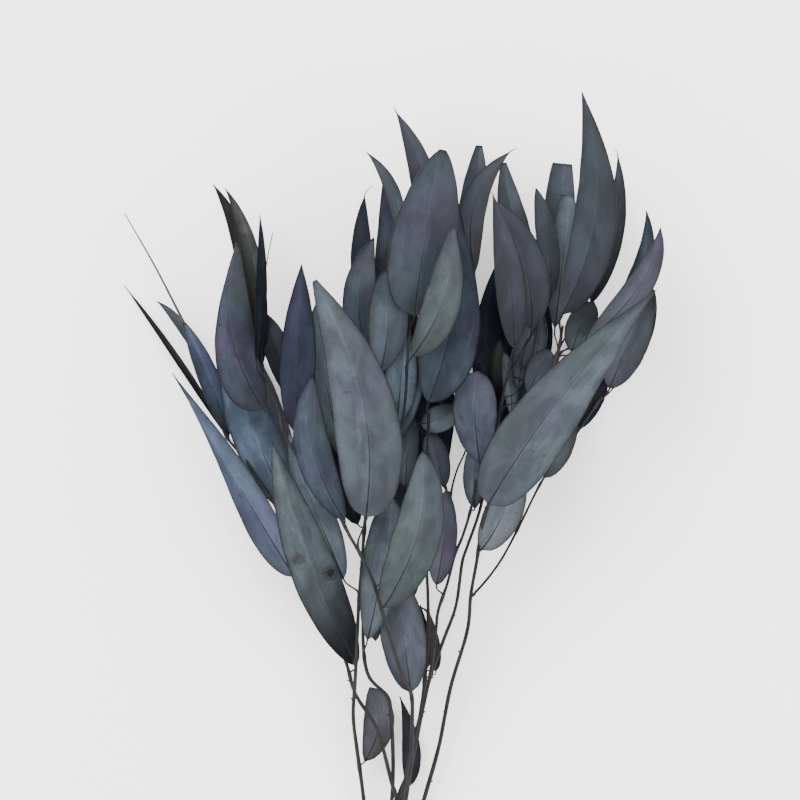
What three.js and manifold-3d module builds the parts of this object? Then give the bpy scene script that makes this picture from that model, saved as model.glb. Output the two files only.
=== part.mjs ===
// A bunch of dried eucalyptus, laid on its back on a table: eight leafy stems held by one twine tie.
//
// Millimetres. X runs across the bunch, Y from the cut ends to the leaf tips, Z up from the table.
// The origin is on the table, under the middle of the tie.
import * as THREE from "three";
import { mergeVertices } from "three/addons/utils/BufferGeometryUtils.js";
import Module from "manifold-3d";

// Driving dimensions
const BLADE = 0.8; // thickness of a leaf
const CUP = 0.12; // how far a leaf's margins lift, as a share of its half width
const ROUND_BASE = 0.65; // how bluntly most leaves start and end: less makes both ends fuller
const LEAST_HALF_WIDTH = 0.4; // a leaf never gets narrower than this, even at its tip
const LEAF_STEP = 20; // length of one stretch of a leaf
const LEAF_STEPS = [4, 8]; // fewest and most stretches in a leaf
const STALK = [2.0, 1.3]; // diameter of a leaf's stalk at the stem and at the leaf
const STALK_BEND = 0.45; // how far both ends of a stalk run straight, as a share of the way between them
const STALK_RUN = 0.9; // how far down its stem a stalk starts, as a share of the leaf's distance from it
const STALK_STEPS = 3;
const ROLL_FADE = [1.4, 0.1]; // share of a leaf's roll that it has at its base and at its tip
const LEAST_MOVE = 0.1; // a point that changes the surface by less than this is left out
const SLIVER = 1e-3; // a crumb of less volume than this, left over by that, is dropped
const STEM_SIDES = 6;
const THREAD_SIDES = 4;
const EXTRA_STEPS = 3; // a stem has this many more stretches than points in its route
const SAMPLES = 200; // points along a stem that are tried for the nearest one to a leaf

// The tie: one band of five turns of twine, and the stems' places in it
const TIE_INSIDE = 6.6; // inner radius
const TIE_OUTSIDE = 8.3; // outer radius of the turns
const TIE_TURNS = 5;
const TIE_TURN = 2.4; // width of one turn
const TIE_GROOVE = 0.5; // depth of the grooves between the turns
const TIE_SEGMENTS = 18; // round the ring
const TIE_HEIGHT = 8; // height of its middle over the table, which leaves it a flat underside
const STEM_RING = 4.4; // how far a stem in the tie is from the middle one
const TIE_STRAIGHT = 12; // the stems run straight this far on both sides of the tie's middle
const CUT_END = 60; // length of the stems below the tie
const END_SPREAD = [2.2, 1.2]; // how far the cut ends spread, across and in height

// Where each stem runs through the tie (its angle in the ring, or null for the middle one), and how much
// its cut end differs from CUT_END.
const places = {
  far_left: [124, 4],
  left: [73, -3],
  left_centre: [176, 1],
  centre: [227, -6],
  middle: [279, 5],
  right_centre: [21, 2],
  right: [null, -8],
  far_right: [330, 7],
};

// Colours of the plain solids
const colours = {
  far_left: 0x5f718c,
  left: 0x4f5a68,
  left_centre: 0x66727e,
  centre: 0x5a6672,
  middle: 0x52606a,
  right_centre: 0x6a6a85,
  right: 0x4e5064,
  far_right: 0x6c7a82,
  tie: 0xb39a6b,
};
const ROUGHNESS = 0.8;

// The leafy stems. stem and branches: diameter at the root and at the end, then the points of the middle
// line. threads: thin dry tips, in the same form. A leaf's row: what it is; tip, middle and base of its
// midrib (x, y); greatest width; where that is, from base 0 to tip 1; height of its base and of its tip;
// rise in the middle; roll to the left (slope across the blade); the share of its length that is left
// where the tip is cut blunt; and, on some, how much nearer to the tip the left side is broadest, and a
// value of the leaf's own for ROUND_BASE.
const bunch = {
  far_left: {
    stem: [3.2, 1.6, [
      [8.8, 93.8, 24], [6.2, 102.5, 26], [-3.8, 138.1, 29], [-16.9, 159.4, 30], [-22.5, 178.8, 34],
      [-32.5, 203.1, 38], [-45, 225, 42], [-53.1, 243.8, 46], [-59.4, 260, 51], [-65, 276.2, 54],
      [-73.1, 288.8, 54], [-85, 305.6, 50], [-96.2, 318.8, 40], [-100.6, 326.2, 34],
    ]],
    branches: [],
    threads: [
      [2.0, 0.7, [[-115, 375, 35], [-124.4, 392.5, 34], [-142.5, 427.5, 32], [-161.9, 461.2, 27]]],
    ],
    leaves: [
      ["thin dark sickle", [-163, 416], [-130, 371], [-98, 322], 4.4, 0.4, 30, -3, 0, 0.4, 1],
      ["blue short leaf", [-126, 395], [-110, 361], [-96, 321], 13.1, 0.42, 36, 32, 3, 1, 1],
      ["small tip behind", [-142, 406], [-126, 390], [-109, 362], 6.9, 0.4, 26, 12, 2, 0.2, 1],
      ["long blue", [-131, 361], [-94, 298], [-55, 233], 21.9, 0.27, 47, 56, 6, -0.8, 1, -0.07],
      ["light blue broad", [-100, 375], [-82, 328], [-59, 274], 28.8, 0.42, 42, 34, 5, 0.5, 1],
      ["green big", [-68, 318], [-46, 247], [-16, 177], 28.8, 0.4, 38, 104, 8, 0.3, 1],
      ["under left", [-90, 388], [-72, 329], [-56, 261], 25, 0.4, 34, -4, 0, -0.6, 1],
    ],
  },
  left: {
    stem: [3.4, 1.5, [
      [15, 93.8, 33], [18.1, 116.2, 40], [18.8, 139.4, 49], [18.1, 160.6, 58], [12.5, 172.5, 63],
      [5.6, 193.8, 74], [0, 213.1, 84], [-6.2, 233.1, 90], [-13.8, 248.8, 91], [-20, 259.4, 88],
      [-25.6, 270, 84], [-35, 283.1, 80], [-45.6, 297.5, 75], [-53.8, 310.6, 71], [-61.9, 325, 66],
      [-64.4, 337.5, 62], [-71.2, 351.2, 58], [-75, 367.5, 54],
    ]],
    branches: [],
    threads: [
      [1.0, 0.6, [[-76.9, 382.5, 71], [-73.8, 411.2, 72], [-71.2, 432.5, 71], [-68.1, 448.1, 66]]],
    ],
    leaves: [
      ["purple grey wide", [-91, 442], [-95, 389], [-74, 338], 30, 0.32, 62, 52, 5, 0.6, 1, -0.12, 0.55],
      ["olive sickle one", [-106, 479], [-86, 432], [-81, 368], 12.5, 0.4, 50, 34, 2, -1, 1],
      ["olive sickle two", [-98, 476], [-81, 431], [-75, 365], 11.2, 0.4, 60, 56, 2, 0.8, 1],
      ["navy sliver", [-76, 459], [-75, 416], [-78, 368], 6.9, 0.4, 70, 73, 0, 1.2, 1],
      ["dark teal", [-78, 401], [-66, 377], [-54, 341], 16.9, 0.42, 62, 52, 0, 0.2, 1],
      ["navy purple", [-50, 428], [-52, 376], [-54, 324], 22.5, 0.4, 74, 80, 4, -0.5, 1],
      ["dark front left", [-43, 359], [-43, 314], [-23, 269], 22.5, 0.45, 86, 94, 3, -0.3, 1],
      ["big light", [-41, 418], [-12, 346], [-10, 271], 41.2, 0.33, 97, 112, 6, -0.2, 0.98, 0.04, 0.45],
      ["front", [25, 312], [23, 264], [1, 215], 30, 0.42, 90, 112, 6, 0.3, 1, 0, 0.52],
      ["grey low", [7, 236], [13, 198], [18, 161], 28.1, 0.5, 55.5, 56, 2, 0.2, 1, 0, 0.55],
    ],
  },
  left_centre: {
    stem: [3.2, 1.5, [
      [-11.9, 93.8, 10], [-15.6, 122.5, 22], [-18.1, 145.6, 34], [-16.9, 167.5, 43],
      [-15.6, 193.8, 54], [-14.4, 218.8, 63], [-12.5, 243.8, 66], [-10, 275, 62], [-6.2, 312.5, 58],
      [-2.5, 340.6, 58], [-1.9, 359.4, 60], [-5, 375, 57], [-8.8, 385.6, 54],
    ]],
    branches: [],
    threads: [],
    leaves: [
      ["grey blue left", [-59, 324], [-42, 276], [-24, 232], 21.9, 0.42, 61, 58, 3, 0.4, 1],
      ["navy behind", [-36, 329], [-26, 295], [-15, 266], 15.6, 0.4, 60, 56, 2, 0.6, 1],
      ["narrow grey", [-41, 404], [-36, 362], [-26, 309], 18.8, 0.45, 64, 72, 4, 0.8, 1],
      ["dark tip", [-11, 472], [-13, 434], [-10, 384], 13.8, 0.4, 40, 22, 2, -0.8, 1],
      ["grey teal", [-5, 445], [-14, 409], [-9, 370], 21.2, 0.42, 60, 70, 3, -0.6, 1],
      ["dark slate", [2, 486], [8, 431], [-2, 378], 25.6, 0.4, 50, 50, 3, 0.5, 1, 0, 0.5],
      ["behind kite", [12, 430], [11, 389], [1, 348], 22.5, 0.45, 52, 48, 2, -0.2, 1],
      ["kite", [2, 425], [4, 394], [-1, 361], 25, 0.5, 70, 77, 2, 0.3, 1],
      ["dark behind teal", [20, 382], [14, 351], [6, 316], 22.5, 0.45, 54, 56, 2, -0.2, 1],
      ["teal blue", [14, 395], [12, 359], [9, 329], 20, 0.45, 60, 64, 2, 0.4, 1],
      ["small hanging", [-8, 163], [-2, 141], [-11, 116], 19.4, 0.5, 19, 16, 2, 0.5, 1],
      ["under centre left", [-23, 394], [-11, 338], [-9, 275], 25, 0.4, 44, -4, 2, 0.6, 1],
      ["under centre", [30, 480], [18, 441], [4, 384], 20, 0.4, 44, -2, 2, -0.6, 1],
    ],
  },
  centre: {
    stem: [3.0, 1.5, [
      [6.2, 93.8, 17], [6.9, 110, 20], [5.6, 146.9, 28], [3.8, 156.9, 30], [-8.1, 170, 34],
      [-11.9, 193.8, 42], [-10, 225, 50], [-5.6, 243.8, 55], [2.5, 275, 60], [10, 312.5, 66],
      [14.4, 342.5, 67], [16.2, 375, 69], [18.1, 406.2, 68], [20.6, 430, 68], [23.1, 440, 68],
    ]],
    branches: [],
    threads: [],
    leaves: [
      ["light sickle", [-9, 498], [6, 475], [12, 444], 9.4, 0.4, 62, 56, 2, -0.6, 1],
      ["leaf with sharp tip", [9, 523], [25, 484], [29, 442], 16.2, 0.4, 72, 66, 2, 0.4, 1],
      ["central", [38, 499], [27, 444], [20, 396], 42.5, 0.4, 82, 92, 5, 0.2, 0.99, 0, 0.45],
      ["greenish", [45, 452], [39, 408], [19, 371], 23.8, 0.42, 88, 104, 4, -0.4, 1, 0.08],
      ["purple grey low", [5, 284], [1, 244], [-9, 194], 25.6, 0.5, 62.5, 76, 4, 0.2, 1],
      ["pointing down", [-4, 193], [-5, 206], [-7, 220], 8.8, 0.5, 56, 54, 0, 0.2, 1],
    ],
  },
  middle: {
    stem: [3.0, 1.5, [
      [10.6, 93.8, 14], [16.2, 109.4, 17], [21.2, 131.2, 20], [26.2, 162.5, 22], [28.8, 193.8, 28],
      [28.8, 218.8, 34], [27.5, 250, 42], [26.9, 281.2, 48], [28.1, 312.5, 56], [29.4, 336.2, 63],
    ]],
    branches: [
      [1.8, 1.2, [
        [26.9, 279.4, 48], [28.8, 295, 43], [31.9, 311.2, 40], [35, 331.2, 38], [40, 356.2, 37],
        [47.5, 387.5, 38], [55, 417.5, 40],
      ]],
    ],
    threads: [],
    leaves: [
      ["slate blue large", [48, 466], [46, 404], [29, 342], 37.5, 0.35, 70, 80, 3, -0.3, 1, 0.07],
      ["blunt back", [61, 504], [58, 475], [52, 441], 16.2, 0.35, 34, 20, 1, 0.6, 0.87],
      ["hook", [80, 499], [58, 467], [58, 424], 16.2, 0.4, 42, 50, 1, -1, 1],
      ["small left", [21, 332], [16, 309], [15, 289], 13.1, 0.5, 42, 41, 2, 0.6, 1],
      ["brown green", [29, 212], [32, 191], [34, 173], 8.8, 0.4, 20, 28, 0, 0.8, 1],
      ["brown dark", [24, 215], [26, 194], [28, 174], 8.8, 0.4, 18, 24, 0, -0.6, 1],
      ["narrow dark low", [11, 157], [18, 128], [17, 100], 11.9, 0.35, 12, 7, 0, 0.6, 1],
      ["under right of centre", [41, 446], [41, 400], [36, 344], 23.8, 0.4, 36, -4, 2, 0.4, 1],
      ["dark centre behind", [40, 374], [26, 319], [16, 264], 36.2, 0.45, 30, 31, 2, 0.1, 1],
      ["under front", [27, 292], [18, 262], [19, 219], 20, 0.45, 28, 2, 2, -0.6, 1],
    ],
  },
  right_centre: {
    stem: [3.0, 1.5, [
      [13.8, 93.8, 27], [19.4, 118.8, 31], [24.4, 143.8, 36], [30, 171.2, 41], [33.8, 200, 45],
      [35, 211.2, 47], [40.6, 228.1, 51], [45.6, 246.9, 55], [50.6, 259.4, 58], [55.6, 276.2, 60],
      [60, 298.8, 54], [64.4, 321.9, 48], [67.5, 338.8, 45],
    ]],
    branches: [
      [1.6, 1.2, [
        [45.6, 245.6, 55], [41.9, 268.8, 50], [41.9, 279.4, 48], [40, 289.4, 45], [34.4, 309.4, 46],
        [28.8, 323.8, 48],
      ]],
      [1.4, 1.0, [
        [41.9, 276.2, 48], [43.8, 288.8, 50], [46.9, 300, 52], [51.9, 311.2, 54], [55.6, 322.5, 56],
      ]],
    ],
    threads: [],
    leaves: [
      ["purple middle", [60, 362], [58, 335], [61, 305], 27.5, 0.55, 62, 66, 3, 0.3, 1],
      ["dark strip", [72, 430], [66, 382], [67, 339], 18.8, 0.4, 42, 40, 0, 1.2, 1],
      ["brownish", [74, 382], [72, 364], [71, 344], 10, 0.45, 47, 49, 0, -0.8, 1],
      ["small grey", [49, 340], [36, 332], [24, 329], 16.9, 0.5, 54, 54, 1, 0.2, 1],
      ["small slate", [29, 324], [34, 308], [39, 289], 15.6, 0.5, 50, 49, 1, -0.4, 1],
      ["purple behind front", [40, 288], [38, 255], [34, 228], 17.5, 0.5, 58, 80, 3, 0.4, 1],
      ["green grey narrow", [61, 324], [58, 300], [58, 276], 14.4, 0.45, 56, 54, 0, -0.8, 1],
    ],
  },
  right: {
    stem: [3.2, 1.5, [
      [12.5, 93.8, 20], [23.1, 141.9, 26], [31.2, 172.5, 32], [38.8, 193.8, 36], [46.2, 214.4, 40],
      [50.6, 243.8, 44], [53.8, 253.1, 46], [61.2, 275, 50], [67.5, 306.2, 54], [73.8, 337.5, 58],
      [78.8, 362.5, 64], [81.9, 375, 70],
    ]],
    branches: [
      [1.6, 1.2, [[77.5, 356.2, 62], [89.4, 377.5, 64], [98.8, 393.8, 67], [105, 407.5, 69]]],
    ],
    threads: [],
    leaves: [
      ["dark purple one", [69, 471], [79, 422], [82, 376], 18.8, 0.4, 80, 88, 4, -0.4, 1],
      ["dark purple two", [72, 468], [89, 428], [93, 388], 26.2, 0.42, 74, 76, 4, 0.3, 1],
      ["dark narrow", [96, 476], [103, 444], [106, 409], 13.8, 0.45, 70, 66, 2, 0.6, 1],
      ["blunt tip leaf", [76, 492], [82, 455], [94, 411], 18.8, 0.35, 60, 56, 2, 0.4, 0.9],
      ["light green one", [94, 399], [89, 376], [85, 351], 12.5, 0.5, 54, 52, 0, 1, 1],
      ["light green two", [76, 374], [80, 355], [81, 334], 9.4, 0.5, 53, 52, 0, 0.6, 1],
      ["light green three", [99, 399], [98, 380], [92, 359], 10, 0.5, 50, 50, 0, -0.8, 1],
      ["purple short", [105, 375], [99, 364], [91, 348], 16.2, 0.5, 52, 58, 0, 0.6, 1],
      ["dark back", [78, 418], [81, 375], [74, 325], 27.5, 0.45, 30, 20, 2, -0.1, 1],
      ["second dark back", [99, 414], [95, 375], [82, 335], 22.5, 0.45, 44, 36, 2, 0.2, 1],
      ["under right purple", [84, 444], [87, 416], [81, 369], 18.8, 0.4, 50, 4, 2, 0.6, 1],
    ],
  },
  far_right: {
    stem: [3.4, 1.6, [
      [26.9, 93.8, 12], [35.6, 125, 16], [43.1, 163.1, 24], [53.8, 200.6, 34], [55.6, 221.2, 40],
      [59.4, 243.8, 50], [61.9, 262.5, 62], [65.6, 276.2, 74], [72.5, 293.8, 76], [86.2, 318.8, 76],
      [101.9, 350, 74], [110, 375, 72], [112.5, 390, 76],
    ]],
    branches: [
      [1.7, 1.2, [
        [55.6, 220, 40], [65.6, 231.2, 44], [75, 244.4, 47], [85.6, 264.4, 52], [100.6, 294.4, 60],
        [112.5, 311.2, 62], [123.8, 326.2, 62], [137.5, 346.2, 60],
      ]],
    ],
    threads: [],
    leaves: [
      ["big right", [170, 412], [112, 347], [66, 279], 40.6, 0.28, 90, 108, 8, 0.3, 1, 0, 0.45],
      ["tall", [124, 535], [134, 466], [112, 397], 27.5, 0.36, 84, 96, 5, -0.6, 1, 0.06],
      ["purple blue", [173, 451], [161, 416], [126, 379], 16.9, 0.4, 80, 84, 3, 0.8, 1],
      ["narrow dark far", [147, 496], [145, 451], [130, 404], 12.5, 0.4, 72, 70, 2, -0.8, 1],
      ["dark green grey", [165, 462], [162, 426], [140, 389], 12.5, 0.4, 68, 60, 2, -0.4, 1],
      ["blunt slate", [113, 492], [111, 453], [111, 403], 20, 0.35, 48, 42, 2, 0.4, 0.7],
      ["light leaf", [116, 472], [113, 434], [108, 389], 17.5, 0.4, 60, 57, 2, 0.4, 0.83],
      ["brown grey small", [132, 405], [124, 390], [118, 374], 18.8, 0.5, 72, 76, 0, 0.4, 1],
      ["grey under big", [168, 412], [153, 378], [142, 351], 25, 0.5, 64, 66, 2, 0.5, 1],
      ["outer under big", [169, 415], [161, 382], [144, 351], 13.8, 0.5, 60, 48, 0, -0.4, 1],
      ["navy small", [141, 361], [132, 341], [121, 325], 10, 0.5, 62, 58, 0, 0.6, 1],
      ["grey low right", [118, 341], [111, 316], [101, 295], 17.5, 0.5, 66, 80, 2, 0.4, 1],
      ["green grey pale", [83, 301], [76, 274], [62, 250], 23.8, 0.5, 56, 70, 2, 0.3, 1, 0, 0.52],
      ["under right", [144, 391], [111, 347], [77, 289], 26.2, 0.4, 50, -5, 2, -0.6, 1],
      ["under tall", [132, 500], [134, 456], [121, 395], 16.9, 0.4, 56, 14, 2, 0.8, 1],
    ],
  },
};

// The places of a leaf's values in its row
const [TIP, MIDDLE, BASE, WIDTH, WIDEST, BASE_Z, TIP_Z] = [1, 2, 3, 4, 5, 6, 7];
const [RISE, ROLL, CUT, LEAN, ROUND] = [8, 9, 10, 11, 12];

const wasm = await Module();
wasm.setup();

// --- A leaf ---

// Half the width of a leaf as a share of its greatest half width, at t from base 0 to tip 1.
function halfShare(t, widest, round) {
  const sharpness = (round * (1 - widest)) / widest;
  return (t / widest) ** round * ((1 - t) / (1 - widest)) ** sharpness;
}

// The point of a leaf's middle surface at t along the midrib and s across it, from -1 to 1.
function leafPoint(leaf, t, s) {
  const [tip, middle, base] = [leaf[TIP], leaf[MIDDLE], leaf[BASE]];
  const bend = [0, 1].map((i) => 2 * middle[i] - (tip[i] + base[i]) / 2);
  const at = [0, 1].map((i) => (1 - t) ** 2 * base[i] + 2 * t * (1 - t) * bend[i] + t * t * tip[i]);
  const along = [0, 1].map((i) => (1 - t) * (bend[i] - base[i]) + t * (tip[i] - bend[i]));
  const size = Math.hypot(...along);
  const widest = leaf[WIDEST] + (leaf[LEAN] ?? 0) * s;
  const share = halfShare(t * leaf[CUT], widest, leaf[ROUND] ?? ROUND_BASE);
  const half = Math.max((leaf[WIDTH] / 2) * share, LEAST_HALF_WIDTH);
  const roll = leaf[ROLL] * THREE.MathUtils.lerp(...ROLL_FADE, t);
  const midrib = leaf[BASE_Z] + (leaf[TIP_Z] - leaf[BASE_Z]) * t + leaf[RISE] * 4 * t * (1 - t);
  return new THREE.Vector3(
    at[0] - (along[1] / size) * half * s,
    at[1] + (along[0] / size) * half * s,
    Math.max(midrib + half * (roll * s + CUP * s * s), BLADE / 2), // it lies flat where it meets the table
  );
}

// The unit normal of that surface.
function leafNormal(leaf, t, s) {
  const near = 0.01;
  const along = leafPoint(leaf, Math.min(t + near, 1), s).sub(leafPoint(leaf, Math.max(t - near, 0), s));
  const across = leafPoint(leaf, t, s + near).sub(leafPoint(leaf, t, s - near));
  return across.cross(along).normalize().negate();
}

// A leaf with its stalk: rings of six points, three over and three under, from the stem to the tip.
// Both faces are split into triangles alike.
function leafGeometry(leaf, lines) {
  const length = Math.hypot(leaf[TIP][0] - leaf[BASE][0], leaf[TIP][1] - leaf[BASE][1]);
  const steps = THREE.MathUtils.clamp(Math.round(length / LEAF_STEP), ...LEAF_STEPS);
  const rings = stalkRings(leaf, lines);
  for (let i = 1; i <= steps; i++) {
    rings.push([0.5, -0.5].flatMap((side) => [-1, 0, 1].map((s) => {
      const lift = leafNormal(leaf, i / steps, s).multiplyScalar(side * BLADE);
      return leafPoint(leaf, i / steps, s).add(lift);
    })));
  }
  const faces = [];
  const quad = (a, b, c, d) => faces.push(a, b, c, a, c, d);
  for (let i = 0; i < rings.length - 1; i++) {
    const [near, far] = [6 * i, 6 * i + 6];
    for (const j of [0, 1]) {
      quad(near + j, far + j, far + j + 1, near + j + 1);
      const [a, b] = [near + j + 3, far + j + 3];
      faces.push(a, b + 1, b, a, a + 1, b + 1);
    }
    quad(near, near + 3, far + 3, far);
    quad(near + 2, far + 2, far + 5, near + 5);
  }
  const end = 6 * (rings.length - 1);
  for (const j of [0, 1]) {
    quad(j, j + 1, j + 4, j + 3);
    quad(end + j, end + j + 3, end + j + 4, end + j + 1);
  }
  return closedGeometry(rings.flat().flatMap((point) => point.toArray()), faces);
}

// The rings of a leaf's stalk. It forks off the stem at a narrow angle and runs on into the midrib.
function stalkRings(leaf, lines) {
  const end = leafPoint(leaf, 0, 0);
  const into = leafPoint(leaf, 0.1, 0).sub(end).normalize();
  const fork = forkFor(lines, end);
  const reach = STALK_BEND * fork.point.distanceTo(end);
  const curve = new THREE.CubicBezierCurve3(
    fork.point,
    fork.point.clone().addScaledVector(fork.heading, reach),
    end.clone().addScaledVector(into, -reach),
    end,
  );
  const rings = [];
  for (let i = 0; i <= STALK_STEPS; i++) {
    const along = curve.getTangent(i / STALK_STEPS);
    const across = new THREE.Vector3(-along.y, along.x, 0).normalize();
    const up = along.cross(across);
    const radius = THREE.MathUtils.lerp(...STALK, i / STALK_STEPS) / 2;
    rings.push([1, -1].flatMap((side) => [-1, 0, 1].map((s) => {
      const point = curve.getPoint(i / STALK_STEPS).addScaledVector(across, radius * s);
      return point.addScaledVector(up, radius * side * (s === 0 ? 1 : 0.5));
    })));
  }
  return rings;
}

// --- A stem or a branch ---

const lineThrough = (points) => {
  return new THREE.CatmullRomCurve3(points.map((point) => new THREE.Vector3(...point)));
};

// A round limb along a curve, thinning from one diameter to the other.
function limbGeometry(curve, steps, sides, from, to) {
  const frames = curve.computeFrenetFrames(steps);
  const points = [];
  for (let i = 0; i <= steps; i++) {
    const radius = THREE.MathUtils.lerp(from, to, i / steps) / 2;
    const middle = curve.getPointAt(i / steps);
    for (let k = 0; k < sides; k++) {
      const angle = (2 * Math.PI * k) / sides;
      const out = frames.normals[i].clone().multiplyScalar(Math.cos(angle) * radius);
      out.addScaledVector(frames.binormals[i], Math.sin(angle) * radius);
      points.push(...out.add(middle).toArray());
    }
  }
  const faces = [];
  for (let i = 0; i < steps; i++) {
    for (let k = 0; k < sides; k++) {
      const [a, b] = [i * sides + k, i * sides + ((k + 1) % sides)];
      faces.push(a, b, b + sides, a, b + sides, a + sides);
    }
  }
  const last = steps * sides;
  for (let k = 1; k < sides - 1; k++) {
    faces.push(0, k + 1, k, last, last + k, last + k + 1);
  }
  return closedGeometry(points, faces);
}

// Where a stalk leaves the nearest of the stem and its branches, and which way that one runs there.
function forkFor(lines, base) {
  let best = { distance: Infinity };
  for (const line of lines) {
    const samples = line.curve.getSpacedPoints(SAMPLES);
    samples.forEach((point, i) => {
      const distance = point.distanceTo(base);
      if (distance < best.distance) best = { distance, line, at: i / SAMPLES };
    });
  }
  const back = (STALK_RUN * best.distance) / best.line.curve.getLength();
  const u = Math.max(best.at - back, 0);
  return { point: best.line.curve.getPointAt(u), heading: best.line.curve.getTangentAt(u), ...best };
}

// --- Solids ---

function closedGeometry(points, faces) {
  const geometry = new THREE.BufferGeometry();
  geometry.setAttribute("position", new THREE.Float32BufferAttribute(points, 3));
  geometry.setIndex(faces);
  return geometry;
}

function solidOf(geometry) {
  geometry.deleteAttribute("normal");
  geometry.deleteAttribute("uv");
  const merged = mergeVertices(geometry);
  const vertProperties = new Float32Array(merged.attributes.position.array);
  const triVerts = new Uint32Array(merged.index.array);
  return new wasm.Manifold(new wasm.Mesh({ numProp: 3, vertProperties, triVerts }));
}

function meshOf(name, colour, solid) {
  const { vertProperties, triVerts } = solid.getMesh();
  const geometry = closedGeometry(Array.from(vertProperties), Array.from(triVerts));
  geometry.computeVertexNormals();
  const material = new THREE.MeshStandardMaterial({ color: colour, roughness: ROUGHNESS, metalness: 0 });
  const mesh = new THREE.Mesh(geometry, material);
  mesh.name = name;
  return mesh;
}

// --- The bunch ---

// The start of a stem: its cut end, and the straight run through its place in the tie.
function rootOf(name) {
  const [angle, longer] = places[name];
  const radius = angle === null ? 0 : STEM_RING;
  const turn = THREE.MathUtils.degToRad(angle ?? 0);
  const [x, z] = [radius * Math.cos(turn), radius * Math.sin(turn)];
  return [
    [x * END_SPREAD[0], -CUT_END - longer, TIE_HEIGHT + z * END_SPREAD[1]],
    [x, -TIE_STRAIGHT, TIE_HEIGHT + z],
    [x, TIE_STRAIGHT, TIE_HEIGHT + z],
  ];
}

function leafyStem(name) {
  const { stem, branches, threads, leaves } = bunch[name];
  const [from, to, route] = stem;
  const lines = [[from, to, [...rootOf(name), ...route]], ...branches].map(([thick, thin, points]) => {
    return { thick, thin, curve: lineThrough(points), steps: points.length + EXTRA_STEPS };
  });
  const parts = lines.map((line) => {
    return limbGeometry(line.curve, line.steps, STEM_SIDES, line.thick, line.thin);
  });
  for (const [thick, thin, points] of threads) {
    parts.push(limbGeometry(lineThrough(points), points.length, THREAD_SIDES, thick, thin));
  }
  for (const leaf of leaves) {
    parts.push(leafGeometry(leaf, lines));
  }
  const whole = parts.map(solidOf).reduce((joined, part) => joined.add(part));
  const bodies = whole.simplify(LEAST_MOVE).decompose().filter((body) => body.volume() > SLIVER);
  return meshOf(`${name}_stem`, colours[name], wasm.Manifold.compose(bodies));
}

// The tie is a ring of twine turns side by side, pressed flat where it lies on the table.
function tie() {
  const wide = TIE_TURNS * TIE_TURN;
  const profile = [new THREE.Vector2(TIE_INSIDE, -wide / 2)];
  for (let turn = 0; turn < TIE_TURNS; turn++) {
    const start = -wide / 2 + turn * TIE_TURN;
    profile.push(new THREE.Vector2(TIE_OUTSIDE - TIE_GROOVE, start));
    profile.push(new THREE.Vector2(TIE_OUTSIDE, start + TIE_TURN / 2));
  }
  profile.push(new THREE.Vector2(TIE_OUTSIDE - TIE_GROOVE, wide / 2));
  profile.push(new THREE.Vector2(TIE_INSIDE, wide / 2));
  profile.push(profile[0].clone());
  const ring = new THREE.LatheGeometry(profile, TIE_SEGMENTS).translate(0, 0, TIE_HEIGHT);
  const size = 4 * TIE_OUTSIDE;
  const table = new THREE.BoxGeometry(size, size, size).translate(0, 0, -size / 2);
  return meshOf("tie", colours.tie, solidOf(ring).subtract(solidOf(table)));
}

const group = new THREE.Group();
for (const name of Object.keys(bunch)) group.add(leafyStem(name));
group.add(tie());

export default group;
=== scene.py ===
# %% [markdown]
# # A bunch of dried eucalyptus
#
# The real thing is a handful of cut branches, dried and dyed slate blue, tied with twine and laid on a table.
# Almost all of what the eye sees is leaves: long, sickle-shaped blades as thin as card, which overlap in
# layers. So this lesson is mostly about one leaf, made well and then repeated by a table of sizes, and
# about one leaf material that every leaf varies.

# %% Load the frame
import math
import random

import bpy
import numpy as np
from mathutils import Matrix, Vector


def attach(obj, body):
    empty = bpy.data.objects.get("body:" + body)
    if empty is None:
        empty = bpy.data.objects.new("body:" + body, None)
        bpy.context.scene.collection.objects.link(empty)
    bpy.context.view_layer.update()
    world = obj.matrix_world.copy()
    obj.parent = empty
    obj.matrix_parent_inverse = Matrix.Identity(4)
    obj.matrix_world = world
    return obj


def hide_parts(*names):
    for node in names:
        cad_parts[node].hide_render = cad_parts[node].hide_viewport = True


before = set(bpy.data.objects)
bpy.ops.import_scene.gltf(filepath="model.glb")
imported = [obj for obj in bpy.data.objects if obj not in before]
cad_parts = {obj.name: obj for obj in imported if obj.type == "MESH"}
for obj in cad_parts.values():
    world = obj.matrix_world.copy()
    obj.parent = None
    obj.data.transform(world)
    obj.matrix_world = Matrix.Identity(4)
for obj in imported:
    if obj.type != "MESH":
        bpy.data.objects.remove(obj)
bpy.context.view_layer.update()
MM = 0.001
print("nodes in the frame:", sorted(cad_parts))

# %% [markdown]
# ## Camera, floor and light
#
# The photo looks at the bunch square on, so here, where the bunch lies on a table, the camera looks straight
# down. A camera close by would swell the leaves on top. One far away with a long lens keeps the outlines of
# high and low leaves where the photo has them.

# %% The camera
PHOTO_WIDTH = 500 * MM  # the width of table that the picture shows, at the bunch's middle height
PHOTO_CENTRE = (11.25 * MM, 343.75 * MM)  # the point of the table in the middle of the picture
BUNCH_MIDDLE = 55 * MM
CAMERA_HEIGHT = 5.0
SENSOR = 36.0


def place_in_scene(name, data):
    """A new object with this data, linked into the scene."""
    made = bpy.data.objects.new(name, data)
    bpy.context.scene.collection.objects.link(made)
    return made


camera_data = bpy.data.cameras.new("camera")
camera_data.sensor_width = SENSOR
camera_data.lens = SENSOR * (CAMERA_HEIGHT - BUNCH_MIDDLE) / PHOTO_WIDTH
camera = place_in_scene("camera", camera_data)
camera.location = (*PHOTO_CENTRE, CAMERA_HEIGHT)
bpy.context.scene.camera = camera
print(f"lens {camera_data.lens:.0f} mm")

# %% [markdown]
# The floor is a plain pale sheet: one large square. Its finish is rough and nearly without gloss, so that it
# shows no lamp.

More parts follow.
